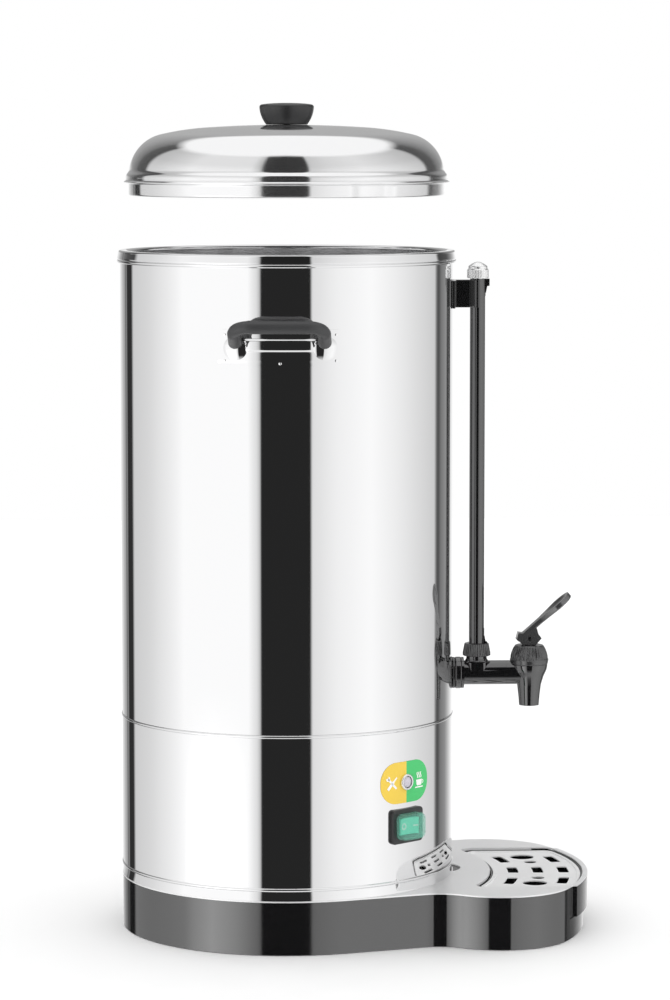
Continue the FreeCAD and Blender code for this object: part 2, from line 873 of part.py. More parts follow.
def make_switch():
    front = tank_r + frame_t - 1.0
    keep_out = post(0, 0, tank_r + seat_gap, 0, tank_top)
    frame = panel_block(tank_r - 3, front, frame_w, frame_h, switch_z, frame_corner)
    frame = frame.makeFillet(0.8, [e for e in frame.Edges if abs(e.CenterOfMass.x - front) < 1e-6])
    frame = frame.cut(keep_out)
    hole = panel_block(tank_r - 9, tank_r + 9, frame_open_w, frame_open_h, switch_z, 2.0)
    save("switch_frame", at_azimuth(frame.cut(hole), panel_azimuth))
    back = tank_r - switch_depth
    lip_x = math.sqrt(tank_r**2 - (frame_w / 2) ** 2) - 0.6
    body = panel_block(back, lip_x, switch_body_w, switch_body_h, switch_z, 1.0)
    body = body.cut(panel_block(lip_x - 8, tank_r, frame_open_w, frame_open_h, switch_z, 2.0))
    socket = frame_open_h / 2 + trunnion_out + move_gap
    axis_x = tank_r - rocker_axis_depth
    body = body.cut(post(axis_x, 0, trunnion_r + seat_gap, switch_z - socket, switch_z + socket))
    for y in (-7, 7):
        for z in (-5, 5):
            high = switch_z + z
            blade = block(back - blade_len, back, blade_t / 2, high - blade_w / 4, high + blade_w / 4, y)
            body = body.fuse(blade)
    save("switch_body", at_azimuth(body, panel_azimuth))


def make_rocker():
    # The rocker turns about an upright axis behind its face. It is drawn tilted to its O side.
    face_x = tank_r + 4.6
    half = rocker_w / 2
    bulge = rocker_crown - math.sqrt(rocker_crown**2 - half**2)
    steps = [(face_x - rocker_t, half), (face_x, half), (face_x - bulge, 0, face_x, -half)]
    face = closed_face(lambda a, b: V(a, b, switch_z - rocker_h / 2), (face_x - rocker_t, -half), steps)
    rocker = face.extrude(V(0, 0, rocker_h))
    axis_x = tank_r - rocker_axis_depth
    rocker = rocker.fuse(block(axis_x, face_x - rocker_t, trunnion_r, switch_z - rocker_h / 2,
                               switch_z + rocker_h / 2))
    reach = frame_open_h / 2 + trunnion_out
    rocker = rocker.fuse(post(axis_x, 0, trunnion_r, switch_z - reach, switch_z + reach))
    rocker = rocker.removeSplitter()
    rocker.rotate(V(axis_x, 0, 0), UP, -rocker_tilt)
    save("switch_rocker", at_azimuth(rocker, panel_azimuth))
    front = tank_r + frame_t - 1.0 + seat_gap
    boot = panel_block(front, front + boot_out, boot_w, boot_h, switch_z, boot_corner)
    boot = boot.makeFillet(1.8, [e for e in boot.Edges if abs(e.CenterOfMass.x - front - boot_out) < 1e-6])
    inner_w = boot_w - 2 * boot_wall
    inner_h = boot_h - 2 * boot_wall
    inside = panel_block(front - 1, front + boot_out - boot_wall, inner_w, inner_h, switch_z,
                         boot_corner - boot_wall)
    save("switch_boot", at_azimuth(boot.cut(inside), panel_azimuth))


# Level gauge

def make_gauge():
    nut_z = tap_z + branch_h + seat_gap
    thread_z = nut_z - seat_gap + branch_thread_h
    seal_z = thread_z + seat_gap
    guard_z = seal_z + seal_h + seat_gap
    nut_top = nut_z + gauge_nut_h
    inner = branch_thread_r + slip_gap
    steps = [
        (gauge_nut_r, nut_z),
        (gauge_nut_r + 0.1, nut_z + 2),
        (gauge_nut_top_r, nut_top),
        (guard_r + slip_gap, nut_top),
        (guard_r + slip_gap, guard_z),
        (inner, guard_z),
    ]
    save("gauge_nut", turned((inner, nut_z), steps, gauge_x))
    seal = post(gauge_x, 0, inner - slip_gap, seal_z, seal_z + seal_h)
    save("gauge_seal", seal.cut(post(gauge_x, 0, glass_r + seat_gap, 0, tank_top)))
    guard = post(gauge_x, 0, guard_r, guard_z, guard_top_z)
    guard = guard.fuse(end_stop(guard_top_z, -1, 2.7, 5.2, 10.5)).fuse(end_stop(nut_top + 0.2, 1, 2.0, 0.8, 5.5))
    guard = guard.cut(post(gauge_x, 0, guard_bore_r, 0, tank_top))
    guard = guard.cut(block(gauge_x, gauge_x + 20, guard_slot_w / 2, guard_slot_bottom_z, guard_slot_top_z))
    save("gauge_guard", guard.removeSplitter())
    glass = post(gauge_x, 0, glass_r, tap_z + tee_r, glass_top_z)
    save("gauge_glass", glass.cut(post(gauge_x, 0, glass_bore_r, 0, tank_top)))
    make_gauge_cap()
    make_gauge_bracket()


def end_stop(z, way, out, flat, length):
    # A short step that stands out on the +X side of the guard at one end of its slot.
    x0 = gauge_x + guard_bore_r
    x1 = gauge_x + guard_r
    steps = [(x1 + out, z), (x1 + out, z + way * flat), (x1 + out * 0.35, z + way * (flat + 0.4)),
             (x1, z + way * length), (x0, z + way * length)]
    return closed_face(in_xz, (x0, z), steps).extrude(V(0, 6.4, 0)).translated(V(0, -3.2, 0))


def make_gauge_cap():
    z = guard_top_z + 0.5
    plug = guard_bore_r - slip_gap
    plug_z = guard_top_z - cap_plug_h + 0.6
    steps = [
        (plug, plug_z),
        (plug, z),
        (cap_r, z),
        (cap_r, z + cap_skirt_h),
        (cap_neck_r, z + cap_skirt_h + 0.6),
        (cap_neck_r, z + cap_neck_h),
        (cap_tip_r, z + cap_h),
        (0, z + cap_h),
    ]
    save("gauge_cap", turned((0, plug_z), steps, gauge_x))


def make_gauge_bracket():
    z1 = bracket_z + bracket_h
    plate = wall_sector(tank_r + seat_gap, tank_r + bracket_plate_t, bracket_half_angle, bracket_z, z1)
    clip_r = guard_r + slip_gap + clip_t
    arm = block(tank_r + bracket_plate_t / 2, gauge_x - guard_r, bracket_arm_w / 2, bracket_z, z1)
    clip = post(gauge_x, 0, clip_r, bracket_z, z1)
    clip = clip.cut(block(gauge_x, gauge_x + 20, 20, bracket_z - 1, z1 + 1))
    bracket = plate.fuse(arm).fuse(clip)
    bracket = bracket.cut(post(gauge_x, 0, guard_r + slip_gap, 0, tank_top))
    save("gauge_bracket", bracket.removeSplitter())


# Tap

def flat_seat(radius):
    # Where a flat ring of this radius first meets the inside of the vessel.
    inner = vessel_r - sheet_t
    return math.sqrt(inner**2 - radius**2)


def make_tap_mount():
    seal_x = tank_r + seat_gap
    nut_x = seal_x + tap_seal_t
    hole = shank_r + slip_gap
    save("tap_seal", ring_x(seal_x, nut_x, seal_r, hole, tap_z))
    nut_end = nut_x + seat_gap + ring_nut_t
    save("tap_ring_nut", ring_x(nut_x + seat_gap, nut_end, ring_nut_r, hole, tap_z))
    inside = flat_seat(lock_nut_flats / 2) - seat_gap
    seal_inner = inside - inner_seal_t
    save("tap_inner_seal", ring_x(seal_inner, inside, lock_nut_flats / 2, hole, tap_z))
    nut = hexagon(seal_inner - seat_gap - lock_nut_t, seal_inner - seat_gap, lock_nut_flats * 0.95, tap_z)
    save("tap_lock_nut", nut.cut(bar(0, tank_r, hole, tap_z)))
    return nut_end + seat_gap


def ring_x(x0, x1, outer, inner, z):
    return bar(x0, x1, outer, z).cut(bar(x0 - 1, x1 + 1, inner, z))


def make_tee(flange_x):
    back = tank_r - shank_inner
    body_x = flange_x + tee_flange_t
    end = tank_r + tee_len
    steps = [
        (back, shank_r),
        (flange_x, shank_r),
        (flange_x, seal_r),
        (body_x, seal_r),
        (body_x, tee_r),
        (end, tee_r),
        (end, spigot_r),
        (end + spigot_len, spigot_r),
        (end + spigot_len, tap_bore_r),
    ]
    tee = spun((back, tap_bore_r), steps, tap_z)
    top = tap_z + branch_h
    branch = [
        (branch_r + 2.2, tap_z),
        (branch_r + 2.2, tap_z + tee_r - 0.8),
        (branch_r + 0.5, top - 2.9, branch_r, top - 1.6),
        (branch_r, top),
        (branch_thread_r, top),
        (branch_thread_r, top + branch_thread_h),
        (0, top + branch_thread_h),
    ]
    stub = turned((0, tap_z), branch, gauge_x)
    stub = stub.common(block(gauge_x - 20, gauge_x + 20, tee_r - 0.2, tap_z, top + 20))
    tee = tee.fuse(stub)
    tee = tee.cut(post(gauge_x, 0, glass_r + seat_gap, tap_z + tee_r - seat_gap, top + 20))
    tee = tee.cut(post(gauge_x, 0, glass_bore_r, tap_z, top)).cut(bar(back, end, tap_bore_r, tap_z))
    save("tap_tee", tee)


def make_spout():
    low = tap_z - spout_bottom
    seat_z = tap_z - 8.4
    top = bonnet_z + 4.4
    steps = [
        (collar_r, bonnet_z - slip_gap),
        (shoulder_out_r, bonnet_z - slip_gap),
        (shoulder_out_r - 0.2, bonnet_z - 2.4, shoulder_out_r - 1.1, tap_z + 1.0),
        (spout_tip_r + 3.6, tap_z - 2.8),
        (spout_tip_r + 1.7, tap_z - 9.0),
        (spout_tip_r + 0.7, tap_z - 17.0, spout_tip_r, low),
        (spout_bore_r, low),
        (spout_bore_r, seat_z - 3.0),
        (seat_hole_r, seat_z - 1.6),
        (seat_hole_r, seat_z),
        (chamber_r, seat_z + 3.0),
        (chamber_r, top),
    ]
    spout = turned((collar_r, top), steps, spout_x)
    start = tank_r + tee_len + seat_gap
    stub = bar(start, spout_x, tee_r, tap_z).cut(post(spout_x, 0, chamber_r, 0, tank_top))
    stub = stub.cut(post(spout_x, 0, bonnet_r + slip_gap, bonnet_z - slip_gap, tank_top))
    spout = spout.fuse(stub)
    spout = spout.cut(bar(start, start + spigot_len + slip_gap, spigot_r + slip_gap, tap_z))
    save("tap_spout", spout.cut(bar(start, spout_x, tap_bore_r, tap_z)))
    make_seat_cup(seat_z, top)
    return top


def make_seat_cup(seat_z, collar_z):
    bottom = seat_z + 0.4
    tip = bottom + 2.6
    flange_z = collar_z + seat_gap
    steps = [
        (seat_hole_r, bottom),
        (6.4, bottom + 1.1),
        (6.4, bottom + 6.5),
        (chamber_r - 0.8, collar_z - 4),
        (chamber_r - 0.8, flange_z),
        (collar_r - 0.3, flange_z),
        (collar_r - 0.3, flange_z + 1.2),
        (chamber_r - 2.0, flange_z + 1.2),
        (chamber_r - 2.0, collar_z - 3.6),
        (4.9, tip + 5.5),
        (stem_r + slip_gap, tip + 5.0),
        (stem_r + slip_gap, tip),
        (0, tip),
    ]
    save("seat_cup", turned((0, bottom), steps, spout_x))


def make_bonnet(collar_z):
    cavity_z = collar_z + 1.35
    inner = collar_r + slip_gap
    steps = [
        (shoulder_out_r + 0.2, bonnet_z),
        (bonnet_r, bonnet_z + 3.2),
        (bonnet_r - 1.2, bonnet_z + 9.6, bonnet_top_r + 0.5, bonnet_top - 0.7),
        (bonnet_top_r, bonnet_top),
        (stem_r + slip_gap, bonnet_top),
        (stem_r + slip_gap, bonnet_top - 3.5),
        (chamber_r - 1.0, bonnet_top - 5.2),
        (chamber_r - 1.0, cavity_z),
        (inner, cavity_z),
    ]
    bonnet = turned((inner, bonnet_z), steps, spout_x)
    flutes = []
    for i in range(bonnet_groove_count):
        dx, dy = polar(bonnet_r + 0.35, 360 * (i + 0.5) / bonnet_groove_count)
        flutes.append(post(spout_x + dx, dy, 1.0, bonnet_z + 3.4, bonnet_z + 7.6))
    save("tap_bonnet", bonnet.cut(Part.makeCompound(flutes)))


def make_stem():
    low = tap_z - spout_bottom + 16.6 + 0.4 + 2.6 + slip_gap
    stem = post(spout_x, 0, stem_r, low, pivot_z)
    head = Part.makeCylinder(stem_head_r, 2 * stem_head_half, V(spout_x, -stem_head_half, pivot_z), V(0, 1, 0))
    stem = stem.fuse(head)
    hole = Part.makeCylinder(lever_pin_r + slip_gap, 20, V(spout_x, -10, pivot_z), V(0, 1, 0))
    save("valve_stem", stem.cut(hole))


def make_lever():
    # The arm and paddle are drawn level, along +X from the pivot, and then raised.
    middle = lever_len - paddle_half
    steps = [
        (middle - paddle_len, lever_neck_half),
        (middle - paddle_len * 0.5, paddle_half * 0.72, middle - 3, paddle_half),
        (middle, paddle_half),
        (lever_len, 0, middle, -paddle_half),
        (middle - 3, -paddle_half),
        (middle - paddle_len * 0.5, -paddle_half * 0.72, middle - paddle_len, -lever_neck_half),
        (-3, -lever_neck_half),
    ]
    face = closed_face(lambda a, b: V(a, b, lever_bottom), (-3, lever_neck_half), steps)
    arm = face.extrude(V(0, 0, lever_top - lever_bottom))
    tops = [e for e in arm.Edges if abs(e.CenterOfMass.z - lever_bottom) < 1e-6 and e.CenterOfMass.x > 5]
    arm = arm.makeFillet(1.2, tops)
    dish_deep = lever_top - 1.7
    axis_z = dish_deep + 19.0
    x0 = middle - 12
    x1 = middle + paddle_half - 2.5
    dish = closed_face(in_xz, (x0, lever_top),
                       [((x0 + x1) / 2, dish_deep, x1, lever_top), (x1, axis_z), (x0, axis_z)])
    arm = arm.cut(dish.revolve(V(0, 0, axis_z), V(1, 0, 0), 360))
    arm.rotate(V(0, 0, 0), V(0, 1, 0), -lever_rise)
    profile = [(4.8, -5.0), (9.0, 0.2), (6.6, 3.4), (5.4, 7.6), (-1.0, 7.0), (-5.1, 3.9), (-8.7, 4.3),
               (-10.0, -1.0)]
    cam = closed_face(in_xz, (-4.8, -5.0), profile).extrude(V(0, 2 * cheek_half, 0))
    cam.translate(V(0, -cheek_half, 0))
    lever = cam.fuse(arm)
    fork = block(-14, 14, fork_half, -9, 0)
    around = Part.makeCylinder(stem_head_r + 0.6, 2 * fork_half, V(0, -fork_half, 0), V(0, 1, 0))
    lever = lever.cut(fork.fuse(around))
    lever = lever.cut(Part.makeCylinder(lever_pin_r + seat_gap, 20, V(0, -10, 0), V(0, 1, 0)))
    place = V(spout_x, 0, pivot_z)
    save("tap_lever", lever.removeSplitter().translated(place))
    pin = Part.makeCylinder(lever_pin_r, 2 * pin_half, V(0, -pin_half, 0), V(0, 1, 0))
    save("lever_pin", pin.translated(place))


def make_tap():
    flange_x = make_tap_mount()
    make_tee(flange_x)
    collar_z = make_spout()
    make_bonnet(collar_z)
    make_stem()
    make_lever()


# Lid

def lid_outline(inset):
    # The side, the rounded corner and the shallow crown, which is tangent to the corner.
    corner_r = lid_corner_r - inset
    centre = (lid_side_r - 0.6 - lid_corner_r, lid_side_h)
    top = lid_side_h + lid_corner_r + lid_crown_rise
    drop = lid_side_h - top
    crown_r = (lid_corner_r**2 - drop**2 - centre[0] ** 2) / (2 * (drop + lid_corner_r))
    turn = math.atan2(crown_r + drop, centre[0])
    join = (centre[0] + corner_r * math.cos(turn), centre[1] + corner_r * math.sin(turn))
    middle = (centre[0] + corner_r * math.cos(turn / 2), centre[1] + corner_r * math.sin(turn / 2))
    sweep = (math.pi / 2 + turn) / 2
    inner_r = crown_r - inset
    crown = (inner_r * math.cos(sweep), top - crown_r + inner_r * math.sin(sweep))
    return (centre[0] + corner_r, lid_side_h), middle, join, crown, (0, top - inset)


def make_lid():
    side, middle, join, crown, top = lid_outline(0.0)
    side_in, middle_in, join_in, crown_in, top_in = lid_outline(sheet_t)
    skirt_in = lid_skirt_r - sheet_t
    pinch = lid_side_r - lid_pinch_in
    steps = [
        (*crown, *join),
        (*middle, *side),
        (pinch, lid_pinch_h),
        (pinch + 0.7, lid_bead_h + 0.7, lid_flange_r - 1.2, lid_bead_h - 0.4),
        (lid_flange_r, lid_bead_h / 2, lid_flange_r - 1.2, 0.2),
        (lid_skirt_r, 0),
        (lid_skirt_r, -lid_skirt_h),
        (skirt_in, -lid_skirt_h),
        (skirt_in, 0),
        (pinch - sheet_t, lid_bead_h + 0.6),
        (pinch - sheet_t, lid_pinch_h),
        side_in,
        (*middle_in, *join_in),
        (*crown_in, *top_in),
    ]
    lid = turned(top, steps)
    for azimuth in (vent_azimuth, vent_azimuth + 180):
        inner = lid_skirt_r - vent_depth
        pocket = wall_sector(inner - sheet_t, lid_skirt_r - sheet_t / 2, vent_half_angle, -lid_skirt_h,
                             vent_h - lid_skirt_h + sheet_t)
        hollow = wall_sector(inner, lid_skirt_r + 1, vent_half_angle - 0.4, -lid_skirt_h - 1,
                             vent_h - lid_skirt_h)
        lid = lid.fuse(at_azimuth(pocket, azimuth)).cut(at_azimuth(hollow, azimuth))
    lid = lid.cut(post(0, 0, lid_hole_r, 0, top[1] + 1))
    save("lid_shell", lid.removeSplitter().translated(V(0, 0, lid_z)))
    make_knob(lid_z + top[1] + seat_gap, lid_z + top_in[1] - seat_gap)


def make_knob(foot_z, under_z):
    edge_z = foot_z + knob_h - knob_edge
    bore = lid_screw_r + seat_gap
    bore_top = foot_z + knob_h * 0.65
    steps = [
        (knob_foot_r, foot_z),
        ((knob_foot_r + knob_r) / 2 + 1.2, foot_z + knob_h * 0.46, knob_r, edge_z),
        (knob_r - 0.5, edge_z + knob_edge * 0.75, knob_r - knob_edge, edge_z + knob_edge),
        dome_steps(knob_r - knob_edge, edge_z + knob_edge, knob_crown),
        (0, bore_top),
        (bore, bore_top),
    ]
    save("lid_knob", turned((bore, foot_z), steps))
    washer = post(0, 0, washer_r, under_z - washer_t, under_z)
    save("lid_washer", washer.cut(post(0, 0, lid_hole_r, 0, under_z + 1)))
    head_z = under_z - washer_t - seat_gap
    screw = post(0, 0, lid_screw_r, head_z, bore_top - 0.5)
    save("lid_screw", screw.fuse(post(0, 0, lid_screw_head_r, head_z - lid_screw_head_h, head_z)))


def main():
    os.makedirs("parts", exist_ok=True)
    make_housing()
    make_deck()
    make_base_plate()
    make_tray()
    make_grille()
    make_foot_ring()
    make_skirt()
    make_tank()
    make_rim()
    make_heater()
    make_terminal_block()
    make_gland()
    make_handles()
    make_label()
    make_lamp()
    make_switch()
    make_rocker()
    make_gauge()
    make_tap()
    make_lid()


main()
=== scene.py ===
# %% [markdown]
# # A hot water urn
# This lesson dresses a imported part.

# %% Load the frame
import math

import bpy
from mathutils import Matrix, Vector
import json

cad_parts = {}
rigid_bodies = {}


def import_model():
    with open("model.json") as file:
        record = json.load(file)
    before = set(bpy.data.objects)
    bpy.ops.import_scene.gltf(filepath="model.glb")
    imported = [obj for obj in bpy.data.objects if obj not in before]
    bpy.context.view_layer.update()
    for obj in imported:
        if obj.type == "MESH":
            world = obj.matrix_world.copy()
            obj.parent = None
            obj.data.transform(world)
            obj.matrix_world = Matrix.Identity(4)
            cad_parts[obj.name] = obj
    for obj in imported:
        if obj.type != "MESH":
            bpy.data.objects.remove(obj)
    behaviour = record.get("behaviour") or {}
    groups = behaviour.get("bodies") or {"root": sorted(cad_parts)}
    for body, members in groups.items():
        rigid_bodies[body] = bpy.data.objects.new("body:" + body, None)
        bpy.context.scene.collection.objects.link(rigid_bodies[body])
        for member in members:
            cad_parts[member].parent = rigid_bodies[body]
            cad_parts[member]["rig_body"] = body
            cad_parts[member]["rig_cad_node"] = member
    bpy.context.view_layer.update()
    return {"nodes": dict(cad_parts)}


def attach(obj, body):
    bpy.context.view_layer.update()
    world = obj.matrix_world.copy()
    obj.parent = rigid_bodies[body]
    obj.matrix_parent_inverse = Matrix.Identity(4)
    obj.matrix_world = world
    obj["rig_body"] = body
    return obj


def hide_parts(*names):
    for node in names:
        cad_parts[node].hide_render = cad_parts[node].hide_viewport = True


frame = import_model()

nodes = frame["nodes"]
print("solids:", len(nodes))

# %% [markdown]
# ## Camera
# The photograph was taken with a long lens from nearly three metres away. The camera stands about level
# with the lid, looks down a little, and is a little to the left of the urn's own front.

# %% Camera
def add_camera(place, pitch, heading, lens):
    data = bpy.data.cameras.new("camera")
    data.sensor_width = 36
    data.lens = lens
    data.clip_start = 0.1
    data.clip_end = 40
    camera = bpy.data.objects.new("camera", data)
    camera.location = place
    camera.rotation_euler = (math.radians(90 - pitch), 0, math.radians(heading))
    bpy.context.scene.collection.objects.link(camera)
    bpy.context.scene.camera = camera
    return camera


camera = add_camera(place=(-0.0982, -2.8495, 0.6003), pitch=5.57, heading=-2.7, lens=136.6)
print("lens", camera.data.lens)

# %% [markdown]
# ## Studio
# Polished steel shows nothing but its surroundings, so the studio is designed as a ring of light.
# Two broad white walls stand left and right, the left one about twice as bright, with a dark gap behind
# the camera and a dark post far behind on each side. A white ceiling hangs above.

# %% Node helpers
def link(tree, source, output, target, socket):
    tree.links.new(source.outputs[output], target.inputs[socket])


def math_node(tree, operation, first, second=None, third=None):
    made = tree.nodes.new("ShaderNodeMath")
    made.operation = operation
    for place, value in enumerate((first, second, third)):
        if value is None:
            continue
        if isinstance(value, (int, float)):
            made.inputs[place].default_value = value
        else:
            tree.links.new(value, made.inputs[place])
    return made.outputs[0]


def ramp(tree, source, stops, interpolation="LINEAR"):
    made = tree.nodes.new("ShaderNodeValToRGB")
    made.color_ramp.interpolation = interpolation
    elements = made.color_ramp.elements
    while len(elements) > 1:
        elements.remove(elements[-1])
    for index, (place, value) in enumerate(stops):
        element = elements[0] if index == 0 else elements.new(place)
        element.position = place
        colour = value if isinstance(value, tuple) else (value, value, value)
        element.color = (*colour, 1)
    tree.links.new(source, made.inputs[0])
    return made.outputs[0]


def mix(tree, factor, first, second):
    made = tree.nodes.new("ShaderNodeMix")
    made.data_type = "RGBA"
    tree.links.new(factor, made.inputs["Factor"])
    for socket, value in (("A", first), ("B", second)):
        target = [i for i in made.inputs if i.identifier == f"{socket}_Color"][0]
        if isinstance(value, (int, float)):
            target.default_value = (value, value, value, 1)
        elif isinstance(value, tuple):
            target.default_value = (*value, 1)
        else:
            tree.links.new(value, target)
    return [o for o in made.outputs if o.identifier == "Result_Color"][0]


print("helpers ready")

# %% [markdown]
# ### The ring of light
# Each wall is given by stops: how many degrees from the camera's side, and how bright. A colour ramp
# can't hold values above one, so the brightness is halved in the ramp and doubled after it. Only the
# lowest part of the left wall keeps its full brightness, and a dusk lies behind the urn.

# %% Ring of light
camera_side = 2.0
left_stops = [
    (0, 0.02), (17.5, 0.02), (18.5, 0.54), (20.7, 0.8), (23, 0.89), (29, 1.18), (36, 1.47),
    (43, 1.68), (54, 1.96), (68, 1.49), (76, 1.07), (82, 0.99), (90, 0.91), (100, 0.83), (107, 0.77),
    (114, 0.73), (132, 0.66), (135.5, 0.03), (144, 0.03), (146.5, 0.29), (148.6, 0.12), (151, 0.36),
    (157, 0.52), (164, 0.75), (180, 1.0),
]
right_stops = [
    (0, 0.02), (15.8, 0.02), (17.2, 0.8), (23, 0.85), (29, 0.91), (35, 0.96), (51, 1.03),
    (60, 1.06), (80, 0.94), (100, 0.8), (123, 0.66), (126, 0.2), (128, 0.09), (130, 0.09),
    (134, 0.2), (143, 0.29), (146, 0.38), (150, 0.52), (154, 0.66), (158, 0.8), (166, 1.0), (180, 1.05),
]
dusk_stops = [(127, 0.06), (139, 0.09), (146, 0.2), (160, 0.34), (174, 0.44)]
calm_limit = 1.07
ceiling_light = 1.02
ceiling_slope = 18
ground_light = 0.9
fill_light = 1.25
backdrop_light = 1.0


def around(turn):
    # The place on a ramp of a turn away from the camera's side, in degrees.
    return turn / 180


def up(elevation):
    # The place on a ramp of an elevation, in degrees from the horizon.
    return 0.5 + elevation / 180


def build_world():
    world = bpy.data.worlds.new("studio")
    bpy.context.scene.world = world
    world.use_nodes = True
    tree = world.node_tree
    tree.nodes.clear()
    place = tree.nodes.new("ShaderNodeTexCoord")
    split = tree.nodes.new("ShaderNodeSeparateXYZ")
    link(tree, place, "Generated", split, 0)
    behind = math_node(tree, "MULTIPLY", split.outputs["Y"], -1.0)
    compass = math_node(tree, "ARCTAN2", split.outputs["X"], behind)
    side = math_node(tree, "ADD", compass, math.radians(camera_side))
    turn = math_node(tree, "MULTIPLY", math_node(tree, "ABSOLUTE", side), 1 / math.pi)
    left = ramp(tree, turn, [(around(a), v / 2) for a, v in left_stops])
    right = ramp(tree, turn, [(around(a), v / 2) for a, v in right_stops])
    ring = mix(tree, math_node(tree, "GREATER_THAN", side, 0.0), left, right)
    height = math_node(tree, "ARCSINE", split.outputs["Z"])
    level = math_node(tree, "MULTIPLY_ADD", height, 1 / math.pi, 0.5)
    full = math_node(tree, "MULTIPLY", ring, 2.0)
    calm = math_node(tree, "MINIMUM", full, calm_limit)
    low = ramp(tree, level, [(up(-11.3), 1.0), (up(-9), 0.0)])
    extra = math_node(tree, "SUBTRACT", full, calm)
    wall = math_node(tree, "MULTIPLY_ADD", extra, low, calm)
    fade = ramp(tree, level, [(up(6), 1.0), (up(26), 0.76)])
    bright = math_node(tree, "MULTIPLY", wall, fade)
    back = ramp(tree, turn, [(around(122), 0.0), (around(127), 1.0)])
    dusk = ramp(tree, turn, [(around(a), v) for a, v in dusk_stops])
    haze = ramp(tree, level, [(up(1), 0.0), (up(4), 1.0)])
    light = mix(tree, math_node(tree, "MULTIPLY", back, haze), bright, dusk)
    # The ceiling comes lower behind the urn than in front of it.
    raised = math_node(tree, "MULTIPLY_ADD", turn, ceiling_slope / 180, level)
    ceiling = ramp(tree, raised, [(up(54), 0.0), (up(60), 1.0)])
    light = mix(tree, ceiling, light, ceiling_light)
    ground = ramp(tree, level, [(up(-60), 1.0), (up(-35), 0.0)])
    light = mix(tree, ground, light, ground_light)
    seen = tree.nodes.new("ShaderNodeLightPath")
    light = mix(tree, seen.outputs["Is Diffuse Ray"], light, fill_light)
    light = mix(tree, seen.outputs["Is Camera Ray"], light, backdrop_light)
    background = tree.nodes.new("ShaderNodeBackground")
    tree.links.new(light, background.inputs["Color"])
    out = tree.nodes.new("ShaderNodeOutputWorld")
    link(tree, background, "Background", out, "Surface")


build_world()
bpy.context.scene.view_settings.view_transform = "Standard"
print("studio walls:", len(left_stops), "and", len(right_stops), "stops")

# %% [markdown]
# ## Surface effects
# Effects that several finishes share are built once as node groups. Each group reads the piece's own
# Object coordinates, so the pattern stays on the piece, and puts out only masks, heights and roughness.

# %% Effect helpers
def new_group(name, inputs, outputs):
    group = bpy.data.node_groups.new(name, "ShaderNodeTree")
    for label, value in inputs:
        socket = group.interface.new_socket(label, in_out="INPUT", socket_type="NodeSocketFloat")
        socket.default_value = value
    for label in outputs:
        group.interface.new_socket(label, in_out="OUTPUT", socket_type="NodeSocketFloat")
    start = group.nodes.new("NodeGroupInput")
    end = group.nodes.new("NodeGroupOutput")
    return group, start, end


def noise_at(group, scale_socket, stretch=(1, 1, 1), detail=3.0):
    place = group.nodes.new("ShaderNodeTexCoord")
    fit = group.nodes.new("ShaderNodeMapping")
    fit.inputs["Scale"].default_value = stretch
    grain = group.nodes.new("ShaderNodeTexNoise")
    grain.inputs["Detail"].default_value = detail
    link(group, place, "Object", fit, "Vector")
    link(group, fit, "Vector", grain, "Vector")
    group.links.new(scale_socket, grain.inputs["Scale"])
    return grain.outputs["Fac"]


def spread(group, source, low, high, least, most):
    made = group.nodes.new("ShaderNodeMapRange")
    made.inputs["From Min"].default_value = low
    made.inputs["From Max"].default_value = high
    group.links.new(least, made.inputs["To Min"])
    group.links.new(most, made.inputs["To Max"])
    group.links.new(source, made.inputs["Value"])
    return made.outputs["Result"]


print("effect helpers ready")

# %% [markdown]
# ### Marks, grain, brushing and prints
# A cloth leaves faint smears on a mirror, a mould leaves a very fine grain, and an abrasive belt leaves
# lines. The last group draws the O and the dash of a switch as a mask.

# %% Effect groups
def build_wipe_marks():
    inputs = [("Size", 18.0), ("Smooth", 0.03), ("Smeared", 0.07)]
    group, start, end = new_group("wipe marks", inputs, ["Roughness", "Height"])
    cloud = noise_at(group, start.outputs["Size"], (1, 1, 0.45))
    rough = spread(group, cloud, 0.35, 0.7, start.outputs["Smooth"], start.outputs["Smeared"])
    group.links.new(rough, end.inputs["Roughness"])
    group.links.new(cloud, end.inputs["Height"])
    return group


def build_moulded_grain():
    inputs = [("Grain", 900.0), ("Unevenness", 30.0), ("Shiny", 0.08), ("Dull", 0.16)]
    group, start, end = new_group("moulded grain", inputs, ["Roughness", "Height"])
    fine = noise_at(group, start.outputs["Grain"], detail=2.0)
    slow = noise_at(group, start.outputs["Unevenness"], detail=2.0)
    height = math_node(group, "MULTIPLY_ADD", fine, 0.25, slow)
    rough = spread(group, slow, 0.3, 0.7, start.outputs["Shiny"], start.outputs["Dull"])
    group.links.new(rough, end.inputs["Roughness"])
    group.links.new(height, end.inputs["Height"])
    return group


def build_brushing():
    inputs = [("Lines", 500.0), ("Smooth", 0.16), ("Scored", 0.3)]
    group, start, end = new_group("brushing", inputs, ["Roughness", "Height"])
    lines = noise_at(group, start.outputs["Lines"], (0.03, 1, 1), detail=4.0)
    rough = spread(group, lines, 0.3, 0.7, start.outputs["Smooth"], start.outputs["Scored"])
    group.links.new(rough, end.inputs["Roughness"])
    group.links.new(lines, end.inputs["Height"])
    return group


